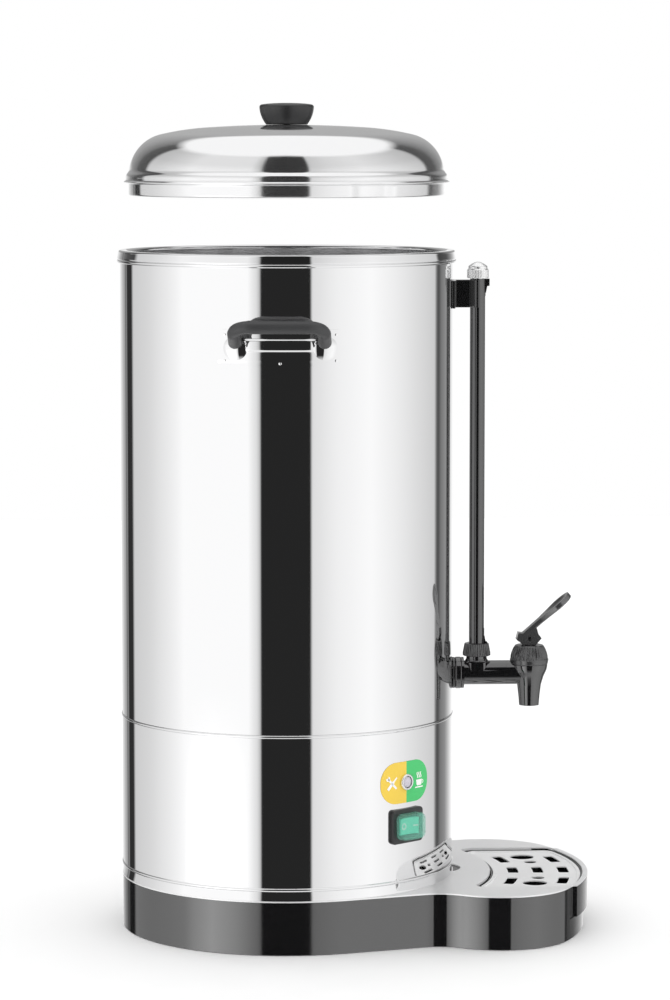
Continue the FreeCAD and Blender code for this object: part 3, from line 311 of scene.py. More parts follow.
def build_switch_marks():
    # The O stands on the left and the dash on the right, both drawn on an upright face.
    inputs = [("Turn", 0.0), ("Height", 0.09), ("Apart", 0.0054), ("Ring", 0.002), ("Line", 0.0006)]
    group, start, end = new_group("switch marks", inputs, ["Mask"])
    place = group.nodes.new("ShaderNodeTexCoord")
    split = group.nodes.new("ShaderNodeSeparateXYZ")
    link(group, place, "Object", split, 0)
    sine = math_node(group, "SINE", start.outputs["Turn"])
    cosine = math_node(group, "COSINE", start.outputs["Turn"])
    along = math_node(group, "MULTIPLY", split.outputs["X"], sine)
    across = math_node(group, "MULTIPLY_ADD", split.outputs["Y"], cosine, along)
    rise = math_node(group, "SUBTRACT", split.outputs["Z"], start.outputs["Height"])
    left = math_node(group, "ADD", across, start.outputs["Apart"])
    rise_squared = math_node(group, "MULTIPLY", rise, rise)
    far_squared = math_node(group, "MULTIPLY_ADD", left, left, rise_squared)
    far = math_node(group, "SQRT", far_squared)
    off = math_node(group, "SUBTRACT", far, start.outputs["Ring"])
    ring = math_node(group, "LESS_THAN", math_node(group, "ABSOLUTE", off), start.outputs["Line"])
    right = math_node(group, "SUBTRACT", across, start.outputs["Apart"])
    short = math_node(group, "LESS_THAN", math_node(group, "ABSOLUTE", right), start.outputs["Ring"])
    thin = math_node(group, "LESS_THAN", math_node(group, "ABSOLUTE", rise), start.outputs["Line"])
    dash = math_node(group, "MULTIPLY", short, thin)
    group.links.new(math_node(group, "MAXIMUM", ring, dash), end.inputs["Mask"])
    return group


wipe_marks = build_wipe_marks()
moulded_grain = build_moulded_grain()
brushing = build_brushing()
switch_marks = build_switch_marks()
print("effect groups:", [g.name for g in bpy.data.node_groups])

# %% [markdown]
# ## Finishes
# Each finish is a Principled shader whose constants sit on its own sockets, with roughness and bump
# from an effect group. Metals differ by how much the marks spoil the mirror, and plastics by gloss.

# %% Finish builder
relief_depth = 0.0004


def finish(name, colour, effect, values, bump=0.0, **sockets):
    made = bpy.data.materials.new(name)
    made.use_nodes = True
    tree = made.node_tree
    shader = tree.nodes["Principled BSDF"]
    shader.inputs["Base Color"].default_value = (*colour, 1)
    for label, value in sockets.items():
        shader.inputs[label.replace("_", " ")].default_value = value
    marks = tree.nodes.new("ShaderNodeGroup")
    marks.node_tree = effect
    for label, value in values.items():
        marks.inputs[label].default_value = value
    tree.links.new(marks.outputs["Roughness"], shader.inputs["Roughness"])
    if bump:
        relief = tree.nodes.new("ShaderNodeBump")
        relief.inputs["Strength"].default_value = bump
        relief.inputs["Distance"].default_value = relief_depth
        tree.links.new(marks.outputs["Height"], relief.inputs["Height"])
        tree.links.new(relief.outputs["Normal"], shader.inputs["Normal"])
    return made


mirror_steel = finish("mirror polished steel", (0.90, 0.90, 0.905), wipe_marks,
                      {"Smooth": 0.02, "Smeared": 0.05}, 0.02, Metallic=1.0)
lid_steel = finish("pressed lid steel", (0.90, 0.90, 0.905), wipe_marks,
                   {"Smooth": 0.07, "Smeared": 0.12}, 0.02, Metallic=0.97)
bright_sheet = finish("bright steel sheet", (0.86, 0.86, 0.865), brushing,
                      {"Smooth": 0.14, "Scored": 0.24}, 0.03, Metallic=0.75)
satin_deck = finish("satin steel sheet", (0.92, 0.92, 0.925), wipe_marks,
                    {"Smooth": 0.3, "Smeared": 0.4}, 0.02, Metallic=0.44)
speckled_steel = finish("bead blasted steel", (0.93, 0.93, 0.93), moulded_grain,
                        {"Grain": 1500.0, "Shiny": 0.35, "Dull": 0.45}, 0.35, Metallic=0.33)
dull_steel = finish("dull steel", (0.62, 0.62, 0.63), brushing,
                    {"Smooth": 0.25, "Scored": 0.4}, 0.1, Metallic=1.0)
satin_chrome = finish("satin chrome", (0.95, 0.95, 0.95), moulded_grain,
                      {"Shiny": 0.2, "Dull": 0.3}, 0.05, Metallic=0.85)
gloss_black = finish("gloss black moulding", (0.006, 0.006, 0.0065), moulded_grain,
                     {"Shiny": 0.04, "Dull": 0.09}, 0.03, IOR=2.2)
satin_black = finish("satin black moulding", (0.02, 0.02, 0.021), moulded_grain,
                     {"Shiny": 0.3, "Dull": 0.42}, 0.12, IOR=1.6)
ribbed_black = finish("ribbed black moulding", (0.03, 0.03, 0.031), moulded_grain,
                      {"Shiny": 0.16, "Dull": 0.26}, 0.05, IOR=2.0)
polished_black = finish("polished black moulding", (0.045, 0.045, 0.046), moulded_grain,
                        {"Shiny": 0.16, "Dull": 0.24}, 0.03, IOR=2.3)
matte_black = finish("matte grey black moulding", (0.035, 0.035, 0.037), moulded_grain,
                     {"Shiny": 0.38, "Dull": 0.5}, 0.15, IOR=1.6)
print("finishes so far:", len(bpy.data.materials))

# %% [markdown]
# ### Soft and clear finishes
# Rubber, silicone, glass and paper use the same groups. The boot lets the rocker behind it show through.

# %% Soft and clear finishes
rubber = finish("seal rubber", (0.02, 0.02, 0.02), moulded_grain,
                {"Shiny": 0.55, "Dull": 0.75}, 0.3)
gloss_rubber = finish("moulded seal", (0.008, 0.008, 0.008), moulded_grain,
                      {"Shiny": 0.12, "Dull": 0.2}, 0.05, IOR=1.8)
silicone = finish("pale silicone", (0.62, 0.6, 0.55), moulded_grain,
                  {"Shiny": 0.35, "Dull": 0.5}, 0.1, Subsurface_Weight=0.2)
phenolic = finish("brown moulding", (0.1, 0.045, 0.02), moulded_grain,
                  {"Shiny": 0.35, "Dull": 0.6}, 0.2)
clear_glass = finish("gauge glass", (0.96, 0.98, 0.98), wipe_marks,
                     {"Smooth": 0.02, "Smeared": 0.05}, Transmission_Weight=1.0, IOR=1.47)
clear_lens = finish("lamp lens", (0.80, 0.76, 0.84), wipe_marks,
                    {"Smooth": 0.05, "Smeared": 0.12}, Transmission_Weight=0.25, IOR=1.45)
green_boot = finish("green silicone boot", (0.26, 0.68, 0.53), moulded_grain,
                    {"Grain": 700.0, "Shiny": 0.14, "Dull": 0.24}, 0.05, Alpha=0.27, IOR=1.41)
white_print = finish("white print", (0.93, 0.93, 0.9), moulded_grain,
                     {"Shiny": 0.3, "Dull": 0.45})
pale_floor = finish("pale paper floor", (0.97, 0.97, 0.97), moulded_grain,
                    {"Grain": 60.0, "Shiny": 0.7, "Dull": 0.9}, 0.02, IOR=1.2)
print("finishes so far:", len(bpy.data.materials))

# %% [markdown]
# ### Label and rocker
# These two carry a print, so their colour comes from masks. Label, lamp and switch share one panel on the
# tank's skirt, which is turned away from the tap.

# %% Printed finishes
MM = 0.001
panel_azimuth = -47.6
panel_turn = math.radians(-panel_azimuth)
label_level = 122.2
switch_level = 89.8
label_yellow = (0.86, 0.6, 0.07)
label_green = (0.06, 0.56, 0.16)
rocker_green = (0.16, 0.86, 0.60)
print_white = (0.95, 0.95, 0.93)


def label_finish():
    # A printed film: the left half is yellow and the right half green, parted by an upright line.
    made = finish("printed film", (1, 1, 1), moulded_grain, {"Shiny": 0.18, "Dull": 0.3}, 0.05)
    tree = made.node_tree
    place = tree.nodes.new("ShaderNodeTexCoord")
    fit = tree.nodes.new("ShaderNodeMapping")
    fit.inputs["Rotation"].default_value = (0, 0, panel_turn)
    split = tree.nodes.new("ShaderNodeSeparateXYZ")
    link(tree, place, "Object", fit, "Vector")
    link(tree, fit, "Vector", split, 0)
    side = math_node(tree, "GREATER_THAN", split.outputs["Y"], 0.0)
    colours = ramp(tree, side, [(0.0, label_yellow), (0.5, label_green)], "CONSTANT")
    tree.links.new(colours, tree.nodes["Principled BSDF"].inputs["Base Color"])
    return made


def rocker_finish():
    # Bright green plastic with a white O and a white dash printed on its face.
    made = finish("green rocker", rocker_green, moulded_grain, {"Shiny": 0.2, "Dull": 0.32}, 0.05)
    tree = made.node_tree
    marks = tree.nodes.new("ShaderNodeGroup")
    marks.node_tree = switch_marks
    marks.inputs["Turn"].default_value = panel_turn
    marks.inputs["Height"].default_value = switch_level * MM
    colour = mix(tree, marks.outputs["Mask"], rocker_green, print_white)
    tree.links.new(colour, tree.nodes["Principled BSDF"].inputs["Base Color"])
    return made


printed_film = label_finish()
green_rocker = rocker_finish()
print("finishes:", len(bpy.data.materials))

# %% [markdown]
# ## Floor
# The floor is plain and pale, and lies half a millimetre below the urn. Mirror finishes don't see it,
# because the urn in the photograph reflects only the ring of light.

# %% Floor
def paint(piece, material):
    if not piece.material_slots:
        piece.data.materials.append(None)
    for slot in piece.material_slots:
        slot.material = material


bpy.ops.object.select_all(action="DESELECT")
floor_size = 6
floor_drop = 0.0005
bpy.ops.mesh.primitive_plane_add(size=floor_size, location=(0, 0, 0))
floor = bpy.context.object
floor.name = "floor"
bpy.ops.object.mode_set(mode="EDIT")
bpy.ops.mesh.select_all(action="SELECT")
bpy.ops.mesh.subdivide(number_cuts=4)
bpy.ops.transform.translate(value=(0, 0, -floor_drop))
bpy.ops.object.mode_set(mode="OBJECT")
floor.visible_glossy = False
paint(floor, pale_floor)
print("floor", [round(v, 2) for v in floor.dimensions])

# %% [markdown]
# ## Finishes on the solids
# A solid whose shape is right keeps its mesh and only gets a finish on its own material slot.

# %% Put a finish on every solid
finish_of = {
    mirror_steel: ["tank_jacket", "skirt_shell", "foot_ring", "rim_ring", "handle_plate_front",
                   "handle_plate_rear", "handle_wire_front", "handle_wire_rear"],
    lid_steel: ["lid_shell"],
    bright_sheet: ["inner_vessel"],
    satin_deck: ["base_deck"],
    speckled_steel: ["drip_grille"],
    dull_steel: ["base_plate", "heater_plate", "base_screws", "lid_screw", "lid_washer",
                 "heating_element"],
    satin_chrome: ["gauge_cap", "lamp_bezel"],
    ribbed_black: ["tap_bonnet", "gauge_nut"],
    gloss_black: ["base_housing", "drip_tray", "gauge_guard", "gauge_bracket", "lever_pin",
                  "tap_ring_nut", "tap_tee", "tap_spout", "valve_stem", "tap_lock_nut"],
    polished_black: ["tap_lever"],
    satin_black: ["lid_knob", "switch_frame", "switch_body", "terminal_block", "cord_gland",
                  "gland_nut"],
    matte_black: ["handle_grip_front", "handle_grip_rear"],
    rubber: ["rubber_pads", "gauge_seal", "tap_inner_seal"],
    gloss_rubber: ["tap_seal"],
    silicone: ["seat_cup"],
    phenolic: ["thermostat", "thermal_cutout"],
    clear_glass: ["gauge_glass"],
    clear_lens: ["lamp_lens"],
    printed_film: ["status_label"],
    green_boot: ["switch_boot"],
    green_rocker: ["switch_rocker"],
}
for material, names in finish_of.items():
    for name in names:
        paint(nodes[name], material)
painted = {name for names in finish_of.values() for name in names}
print("solids with a finish:", len(painted), "without:", sorted(set(nodes) - painted))

# %% [markdown]
# ## Spinning sheet metal
# The tank, its rings and the lid are spun or rolled from sheet, so they are modelled the same way: half of
# the section is traced point by point by extruding one vertex, and the trace is spun round the axis.

# %% Trace and spin
same_spot = 0.000001
same_seam = 0.000003


def use_only(piece):
    if bpy.context.object and bpy.context.object.mode != "OBJECT":
        bpy.ops.object.mode_set(mode="OBJECT")
    bpy.ops.object.select_all(action="DESELECT")
    piece.select_set(True)
    bpy.context.view_layer.objects.active = piece
    return piece


def place_xz(point):
    return Vector((point[0] * MM, 0, point[1] * MM))


def trace(name, points, place=place_xz, closed=True):
    bpy.ops.object.select_all(action="DESELECT")
    bpy.ops.mesh.primitive_circle_add(vertices=3, radius=0.001, location=(0, 0, 0))
    piece = bpy.context.object
    piece.name = name
    piece.data.name = name
    bpy.ops.object.mode_set(mode="EDIT")
    bpy.ops.mesh.select_mode(type="VERT")
    bpy.ops.mesh.select_all(action="SELECT")
    bpy.ops.mesh.merge(type="CENTER")
    spots = [place(p) for p in points]
    bpy.ops.transform.translate(value=spots[0])
    if closed:
        spots.append(spots[0])
    for here, there in zip(spots, spots[1:]):
        bpy.ops.mesh.extrude_region_move(TRANSFORM_OT_translate={"value": there - here})
    bpy.ops.mesh.select_all(action="SELECT")
    bpy.ops.mesh.remove_doubles(threshold=same_spot)
    return piece


def arc(centre, radius, start, end, count=8):
    # Points of an arc in a section. The turns are in degrees, from outward towards up.
    turns = [math.radians(start + (end - start) * i / (count - 1)) for i in range(count)]
    return [(centre[0] + radius * math.cos(t), centre[1] + radius * math.sin(t)) for t in turns]


def spin(steps=192, x=0.0, y=0.0, z=0.0, axis=(0, 0, 1)):
    bpy.ops.mesh.select_all(action="SELECT")
    bpy.ops.mesh.spin(steps=steps, angle=2 * math.pi, center=(x * MM, y * MM, z * MM), axis=axis)
    bpy.ops.mesh.select_all(action="SELECT")
    bpy.ops.mesh.remove_doubles(threshold=same_seam)
    bpy.ops.mesh.normals_make_consistent(inside=False)
    bpy.ops.object.mode_set(mode="OBJECT")


print("one millimetre is", MM, "of the scene's unit")

# %% [markdown]
# ### Edges and shading
# Real edges are a little round. A small bevel goes round every sharp edge, and the shading is weighted
# by the size of the faces, so a long mirror face stays straight right up to its edge.

# %% Edges, shading and hand-over of one piece
def body_of(name):
    return nodes[name]["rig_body"]


def apply(piece, kind, **settings):
    made = piece.modifiers.new(kind.lower(), kind)
    for label, value in settings.items():
        setattr(made, label, value)
    bpy.ops.object.modifier_apply(modifier=made.name)


sharp_turn = 35


def shade(piece, edge, rounds=2, smooth=32.0):
    use_only(piece)
    if edge:
        apply(piece, "BEVEL", width=edge, segments=rounds, limit_method="ANGLE",
              angle_limit=math.radians(sharp_turn), use_clamp_overlap=True)
    bpy.ops.object.shade_smooth_by_angle(angle=math.radians(smooth))
    apply(piece, "WEIGHTED_NORMAL", keep_sharp=True)


dressed = {}


def dress(piece, name, material):
    piece.name = f"{name}_dressed"
    piece.data.name = piece.name
    paint(piece, material)
    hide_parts(name)
    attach(piece, body_of(name))
    dressed[name] = piece


def cut(piece, cutter, operation="DIFFERENCE"):
    # The cutter is a helper, which is taken away after the cut.
    use_only(piece)
    apply(piece, "BOOLEAN", operation=operation, solver="EXACT", object=cutter)
    bpy.data.objects.remove(cutter, do_unlink=True)
    use_only(piece)


cutter_length = 30


def on_wall(reach, z, azimuth):
    turn = math.radians(azimuth)
    return Vector((reach * MM * math.cos(turn), reach * MM * math.sin(turn), z * MM))


def round_cutter(radius, reach, z, azimuth):
    bpy.ops.object.select_all(action="DESELECT")
    bpy.ops.mesh.primitive_cylinder_add(
        vertices=48, radius=radius * MM, depth=cutter_length * MM,
        location=on_wall(reach, z, azimuth), rotation=(0, math.pi / 2, math.radians(azimuth)))
    return bpy.context.object


def box_cutter(width, height, reach, z, azimuth, length=cutter_length):
    bpy.ops.object.select_all(action="DESELECT")
    bpy.ops.mesh.primitive_cube_add(
        size=1, location=on_wall(reach, z, azimuth), rotation=(0, 0, math.radians(azimuth)),
        scale=(length * MM, width * MM, height * MM))
    return bpy.context.object


print("pieces handed over:", len(dressed))

# %% [markdown]
# ## Tank
# The jacket is a rolled and seam-welded sheet, 0.8 mm thick, polished to a mirror. It hides the vessel,
# and only its upper and lower edges and the hole for the tap's shank interrupt it.

# %% Jacket and vessel
tank_r = 125
sheet_r = 124.2
jacket_low = 162.4
jacket_high = 509.5
tap_level = 190.0
shank_hole_r = 6.8
jacket = trace("jacket", [(tank_r, jacket_low), (tank_r, jacket_low + 1), (tank_r, jacket_high - 1),
                          (tank_r, jacket_high), (sheet_r, jacket_high), (sheet_r, jacket_low)])
spin(192)
cut(jacket, round_cutter(shank_hole_r, tank_r, tap_level, 0))
shade(jacket, 0.0001, 1)
dress(jacket, "tank_jacket", mirror_steel)

vessel_r = 120.5
vessel_inner_r = 119.7
corner = (112.5, 180)
vessel_points = [(0, 172)] + arc(corner, 8, -90, 0) + [(vessel_r, 182), (vessel_r, jacket_high)]
vessel_points += [(vessel_inner_r, jacket_high), (vessel_inner_r, 182)]
vessel_points += arc(corner, 7.2, 0, -90) + [(0, 172.8)]
vessel = trace("vessel", vessel_points, closed=False)
spin(192)
cut(vessel, round_cutter(shank_hole_r, 118, tap_level, 0))
shade(vessel, 0)
dress(vessel, "inner_vessel", bright_sheet)
print("jacket faces", len(jacket.data.polygons), "vessel faces", len(vessel.data.polygons))

# %% [markdown]
# ## Skirt and foot ring
# The skirt has a rolled bead at both ends. The upper bead marks the seam between tank and skirt, with a
# fine groove on each side of it. The foot ring flares slightly towards the base.

# %% Skirt and foot ring
def bead(z, bulge=0.7, half=1.1):
    radius = (half**2 + bulge**2) / (2 * bulge)
    angle = math.degrees(math.asin(half / radius))
    return arc((tank_r + bulge - radius, z), radius, -angle, angle, 9)


seam = 161.2
skirt_low = 47.25
lamp_hole_r = 4.3
switch_hole = (28, 21.4)
gland_hole_r = 8.1
gland_level = 76
gland_azimuth = 90
skirt_points = [(tank_r, skirt_low)] + bead(48.4)[1:]
skirt_points += [(124.85, 49.6), (tank_r, 49.75), (tank_r, 52)]
skirt_points += [(tank_r, seam - 2.4), (tank_r, seam - 1.35), (124.8, seam - 1.2)] + bead(seam)
skirt_points += [(124.1, seam + 1.15), (124.1, 170), (123.3, 170), (123.3, seam), (sheet_r, 160.1)]
skirt_points += [(sheet_r, skirt_low)]
skirt = trace("skirt", skirt_points)
spin(192)
cut(skirt, round_cutter(lamp_hole_r, tank_r, label_level, panel_azimuth))
cut(skirt, box_cutter(*switch_hole, 120, switch_level, panel_azimuth))
cut(skirt, round_cutter(gland_hole_r, tank_r, gland_level, gland_azimuth))
shade(skirt, 0)
dress(skirt, "skirt_shell", mirror_steel)

ring = trace("foot", [(123.5, 40), (125.3, 40), (125.2, 40.5), (125.05, 41.6), (124.9, 43),
                      (124.78, 44.6), (124.72, 46), (124.7, 47.1), (123.5, 47.1)])
spin(192)
shade(ring, 0.0001, 1)
dress(ring, "foot_ring", mirror_steel)
print("skirt faces", len(skirt.data.polygons), "foot ring faces", len(ring.data.polygons))

# %% [markdown]
# ## Rim ring
# The rolled ring caps jacket and vessel. From the top it is a round roll, a slightly conical band, a fine
# groove and a round bead that turns back under towards the jacket.

# %% Rim ring
rim_points = [(125.1, 501.35), (126.0, 501.4)] + arc((125.95, 502.9), 1.45, -75, 68, 10)
rim_points += [(126.45, 504.5), (127.1, 504.75), (127.15, 505.2), (126.4, 509.0)]
rim_points += arc((124.8, 509.4), 1.6, 4, 90, 8) + [(123.0, 511.0), (121.4, 510.95)]
rim_points += arc((121.2, 508.75), 2.2, 84, 180, 9)
rim_points += [(119.0, 503.4), (119.6, 503.4), (119.6, 509.7), (125.9, 509.7), (125.9, 502.7)]
rim_points += [(125.1, 502.3)]
rim = trace("rim", rim_points)
spin(216)
shade(rim, 0, smooth=40)
dress(rim, "rim_ring", mirror_steel)
print("rim ring", [round(v / MM, 1) for v in rim.dimensions])

# %% [markdown]
# ## Lid
# The lid is a shallow spun dome with a round shoulder. Above its flange the wall pinches in, the flange
# itself is a rolled bead, and a skirt below it centres the lid in the vessel.

# %% Lid
lid_level = 560.7
crown_height = 43.6
lid_sheet = 0.8
shoulder = (86.93, 6.1)
shoulder_r = 31.2
lid_skirt_r = 118.2
lid_skirt_inner_r = 117.4


def crown_points(drop):
    # The crown is a flat bowl that falls faster beyond a radius of 60 mm.
    reaches = (2.7, 6, 12, 20, 30, 40, 50, 60, 66, 72, 78, 83, 88, 92)
    return [(r, crown_height - drop - r**2 / 1800 - 0.0019 * max(0.0, r - 60) ** 2) for r in reaches]


lid_section = crown_points(0) + arc(shoulder, shoulder_r, 76, 8, 16)
# The pinch above the flange, then the rolled bead of the flange.
lid_section += [(117.87, 9.9), (118.1, 9.2), (118.6, 8.4), (119.2, 7.6), (119.75, 6.9), (120.1, 6.2)]
lid_section += [(120.3, 5.4), (120.4, 4.2), (120.5, 2.6), (120.8, 2.0), (121.5, 1.7), (121.95, 1.3)]
lid_section += [(121.9, 0.9), (121.2, 0.5), (119.6, 0.25), (118.5, 0.05)]
# The skirt down to its rolled edge, and back up inside.
lid_section += [(lid_skirt_r, z) for z in (-0.3, -0.75, -1.05, -5, -7.9)]
lid_section += [(117.9, -8.7), (117.3, -9.1), (116.9, -8.9)]
lid_section += [(lid_skirt_inner_r, z) for z in (-8.0, -5, -1.05, -0.75, 0.3)]
lid_section += [(119.6, 1.9), (119.55, 5.3), (118.95, 6.6), (118.0, 7.8), (117.3, 8.9), (117.05, 9.9)]
lid_section += arc(shoulder, shoulder_r - lid_sheet, 8, 76, 14) + crown_points(lid_sheet)[::-1]
lid_cover = trace("lid", [(r, z + lid_level) for r, z in lid_section])
spin(288)
print("lid faces", len(lid_cover.data.polygons))

# %% [markdown]
# ### Vents
# At two places the lower skirt is picked and drawn in towards the axis in three steps, each narrower than
# the one before.

# %% Vents pressed into the lid's skirt
def select_where(piece, test):
    # Vertices are picked by where they are, as a box selection would.
    use_only(piece)
    bpy.ops.object.mode_set(mode="EDIT")
    bpy.ops.mesh.select_mode(type="VERT")
    bpy.ops.mesh.select_all(action="DESELECT")
    bpy.ops.object.mode_set(mode="OBJECT")
    count = 0
    for vertex in piece.data.vertices:
        vertex.select = test(vertex.co)
        count += vertex.select
    bpy.ops.object.mode_set(mode="EDIT")
    return count


def compass(co, x=0.0, y=0.0):
    return math.degrees(math.atan2(co.y - y * MM, co.x - x * MM))


def near_turn(angle, target):
    return abs((angle - target + 180) % 360 - 180)


vent_turns = (-59, 121)
vent_step = 0.993


def in_vent(co, half):
    low = co.z < (lid_level - 1.0) * MM
    return low and min(near_turn(compass(co), turn) for turn in vent_turns) < half


for half in (8.6, 7.4, 6.2):
    moved = select_where(lid_cover, lambda co: in_vent(co, half))
    bpy.ops.transform.resize(value=(vent_step, vent_step, 1), center_override=(0, 0, 0))
    bpy.ops.object.mode_set(mode="OBJECT")
shade(lid_cover, 0, smooth=42)
dress(lid_cover, "lid_shell", lid_steel)
print("vent vertices", moved)

# %% [markdown]
# ## Knob of the lid
# A turned knob of black plastic, shaped like a shallow bowl, with a round edge and a slightly crowned top.

# %% Knob
knob_z = lid_level + crown_height + 0.05
knob_points = [(0, 10), (2.45, 10), (2.45, 0), (15.2, 0), (15.6, 0.25), (16.7, 1.8), (18.1, 4.2)]
knob_points += [(19.2, 6.8), (19.95, 9.4), (20.3, 11.6)] + arc((18.3, 12.9), 2.1, 0, 80, 8)
knob_points += [(17.2, 15.2), (14, 15.6), (9, 15.9), (4, 16.07), (0, 16.1)]
knob = trace("knob", [(r, z + knob_z) for r, z in knob_points], closed=False)
spin(96)
shade(knob, 0, smooth=40)
dress(knob, "lid_knob", satin_black)
print("knob", [round(v / MM, 1) for v in knob.dimensions])

# %% [markdown]
# ## Turned pieces with ribs
# Nuts and caps are turned first and knurled after. Here the columns of a spun piece are picked by their
# angle, every other group of them, and drawn in towards the axis.

# %% Knurl helper
def knurl(piece, ribs, factor, low, high, x, least):
    def between(co):
        turn = (compass(co, x) + 360) % 360 / 360 * ribs
        far = math.hypot(co.x - x * MM, co.y)
        return turn % 1 >= 0.49 and low * MM < co.z < high * MM and far > least * MM

    count = select_where(piece, between)
    bpy.ops.transform.resize(value=(factor, factor, 1), center_override=(x * MM, 0, 0))
    bpy.ops.object.mode_set(mode="OBJECT")
    return count


gauge_x = 143.8
nut_points = [(7.05, 203.1), (9.9, 203.1), (10.45, 203.5), (10.5, 204.0), (10.55, 205.1), (9.3, 211.9)]
nut_points += [(9.15, 212.4), (8.6, 212.65), (6.05, 212.65), (6.05, 209.2), (7.05, 209.2)]
gauge_nut = trace("gauge nut", [(r + gauge_x, z) for r, z in nut_points])
spin(160, x=gauge_x)
print("nut vertices moved", knurl(gauge_nut, 40, 0.972, 203.9, 212.3, gauge_x, 8.5))
shade(gauge_nut, 0, smooth=25)
dress(gauge_nut, "gauge_nut", ribbed_black)

# %% [markdown]
# ### Cap of the gauge
# The cap is a bright turned piece: a finely knurled skirt below, a neck, and a low cone with a round tip.

# %% Gauge cap
cap_z = 489.5
cap_points = [(0, -4.9), (4.4, -4.9), (4.4, 0), (7.9, 0), (8.15, 0.3), (8.15, 1.0), (8.15, 5.6)]
cap_points += [(8.05, 6.2), (7.5, 6.7), (7.25, 7.2), (7.25, 8.5), (6.9, 9.1), (4.5, 10.75), (2.4, 11.75)]
cap_points += [(1.2, 12.12), (0, 12.2)]
cap = trace("gauge cap", [(r + gauge_x, z + cap_z) for r, z in cap_points], closed=False)
spin(192, x=gauge_x)
print("cap vertices moved", knurl(cap, 48, 0.985, cap_z + 0.9, cap_z + 5.8, gauge_x, 7))
shade(cap, 0, smooth=25)
dress(cap, "gauge_cap", satin_chrome)

# %% [markdown]
# ### Bonnet of the tap
# The bonnet screws down on the spout's shoulder. Its wide lower band is smooth, and its upper cone has
# fine ribs for the fingers.

# %% Bonnet
spout_x = 183.9
bonnet_z = 196.6
bonnet_points = [(12.1, 0), (13.9, 0), (14.3, 0.5), (14.7, 3.0), (14.72, 3.5), (14.3, 4.0), (14.1, 6.0)]
bonnet_points += [(13.6, 8.2), (12.8, 10.4), (11.9, 12.3), (11.1, 13.6), (10.4, 14.3), (9.8, 14.4)]
bonnet_points += [(2.1, 14.4), (2.1, 10.9), (9.2, 9.2), (9.2, 5.75), (12.1, 5.75)]
bonnet = trace("bonnet", [(r + spout_x, z + bonnet_z) for r, z in bonnet_points])
spin(160, x=spout_x)
print("bonnet vertices moved", knurl(bonnet, 40, 0.965, bonnet_z + 4.1, bonnet_z + 13.0, spout_x, 11))
shade(bonnet, 0, smooth=25)
dress(bonnet, "tap_bonnet", ribbed_black)

# %% [markdown]
# ## Rings behind the tap
# Three black rings stack up at the tank's wall: a soft seal, a thicker ring nut and the tee's own flange.
# They are turned about a level axis, so the same trace is spun round X.

# %% Seal and ring nut
def ring_section(x0, x1, inner, outer, edge):
    points = [(x0, inner), (x0, outer - edge)] + arc((x0 + edge, outer - edge), edge, 180, 90, 5)[1:]
    points += arc((x1 - edge, outer - edge), edge, 90, 0, 5) + [(x1, inner)]
    return [(x, r + tap_level) for x, r in points]


shank_r = 6.6
for name, x0, x1, outer, edge, material in (
    ("tap_seal", 125.05, 127.25, 11.9, 0.7, gloss_rubber),
    ("tap_ring_nut", 127.3, 131.9, 12.1, 0.9, gloss_black),
):
    turned = trace(name, ring_section(x0, x1, shank_r, outer, edge))
    spin(96, z=tap_level, axis=(1, 0, 0))
    shade(turned, 0)
    dress(turned, name, material)
print("rings", [round(dressed[name].dimensions.z / MM, 1) for name in ("tap_seal", "tap_ring_nut")])

# %% [markdown]
# ## Carrying handles
# Each handle is a bent steel wire with a moulded grip over it. Both follow one path, out from two feet
# and across, drawn level, tilted up and turned to the handle's side. The path becomes a tube.

# %% Handle path and tubes
handle_turns = {"front": -94.2, "rear": 85.8}
handle_level = 443.8
foot_half = 32.3
foot_x = math.sqrt(tank_r**2 - foot_half**2)
grip_x = 155
grip_rise = 16.8
grip_bend = 11
handle_reach = math.hypot(grip_x - foot_x, grip_rise)
lean = math.atan2(grip_rise, grip_x - foot_x)


def handle_path(start):
    far = foot_x + handle_reach
    bend = arc((far - grip_bend, foot_half - grip_bend), grip_bend, 90, 0, 10)
    half = [(foot_x + start, foot_half), (foot_x + start + 4, foot_half), (far - 13, foot_half)] + bend
    half += [(far, foot_half - 14), (far, 8)]
    return half + [(x, -y) for x, y in reversed(half)]


def handle_place(azimuth):
    turn = math.radians(azimuth)

    def place(point):
        along = point[0] - foot_x
        out = foot_x + along * math.cos(lean)
        x = out * math.cos(turn) - point[1] * math.sin(turn)
        y = out * math.sin(turn) + point[1] * math.cos(turn)
        return Vector((x * MM, y * MM, (handle_level + along * math.sin(lean)) * MM))

    return place


def tube(name, points, place, radius, narrow=()):
    piece = trace(name, points, place, closed=False)
    bpy.ops.object.mode_set(mode="OBJECT")
    use_only(piece)
    bpy.ops.object.convert(target="CURVE")
    curve = bpy.context.object
    curve.data.bevel_depth = radius * MM
    curve.data.bevel_resolution = 8
    curve.data.use_fill_caps = True
    for index, spot in enumerate(curve.data.splines[0].points):
        spot.radius = 0.93 if index in narrow else 1.0
    bpy.ops.object.convert(target="MESH")
    made = bpy.context.object
    bpy.ops.object.mode_set(mode="EDIT")
    bpy.ops.mesh.select_all(action="SELECT")
    bpy.ops.mesh.remove_doubles(threshold=same_spot)
    bpy.ops.mesh.normals_make_consistent(inside=False)
    bpy.ops.object.mode_set(mode="OBJECT")
    return made


wire_r = 2.5
grip_r = 4.9
bends = list(range(4, 12)) + list(range(18, 26))
for side, azimuth in handle_turns.items():
    wire = tube(f"wire {side}", handle_path(4.6), handle_place(azimuth), wire_r)
    shade(wire, 0.0002, smooth=50)
    dress(wire, f"handle_wire_{side}", mirror_steel)
    grip = tube(f"grip {side}", handle_path(10), handle_place(azimuth), grip_r, bends)
    shade(grip, 0.0012, 3, smooth=50)
    dress(grip, f"handle_grip_{side}", matte_black)
print("grip", [round(v / MM, 1) for v in grip.dimensions])

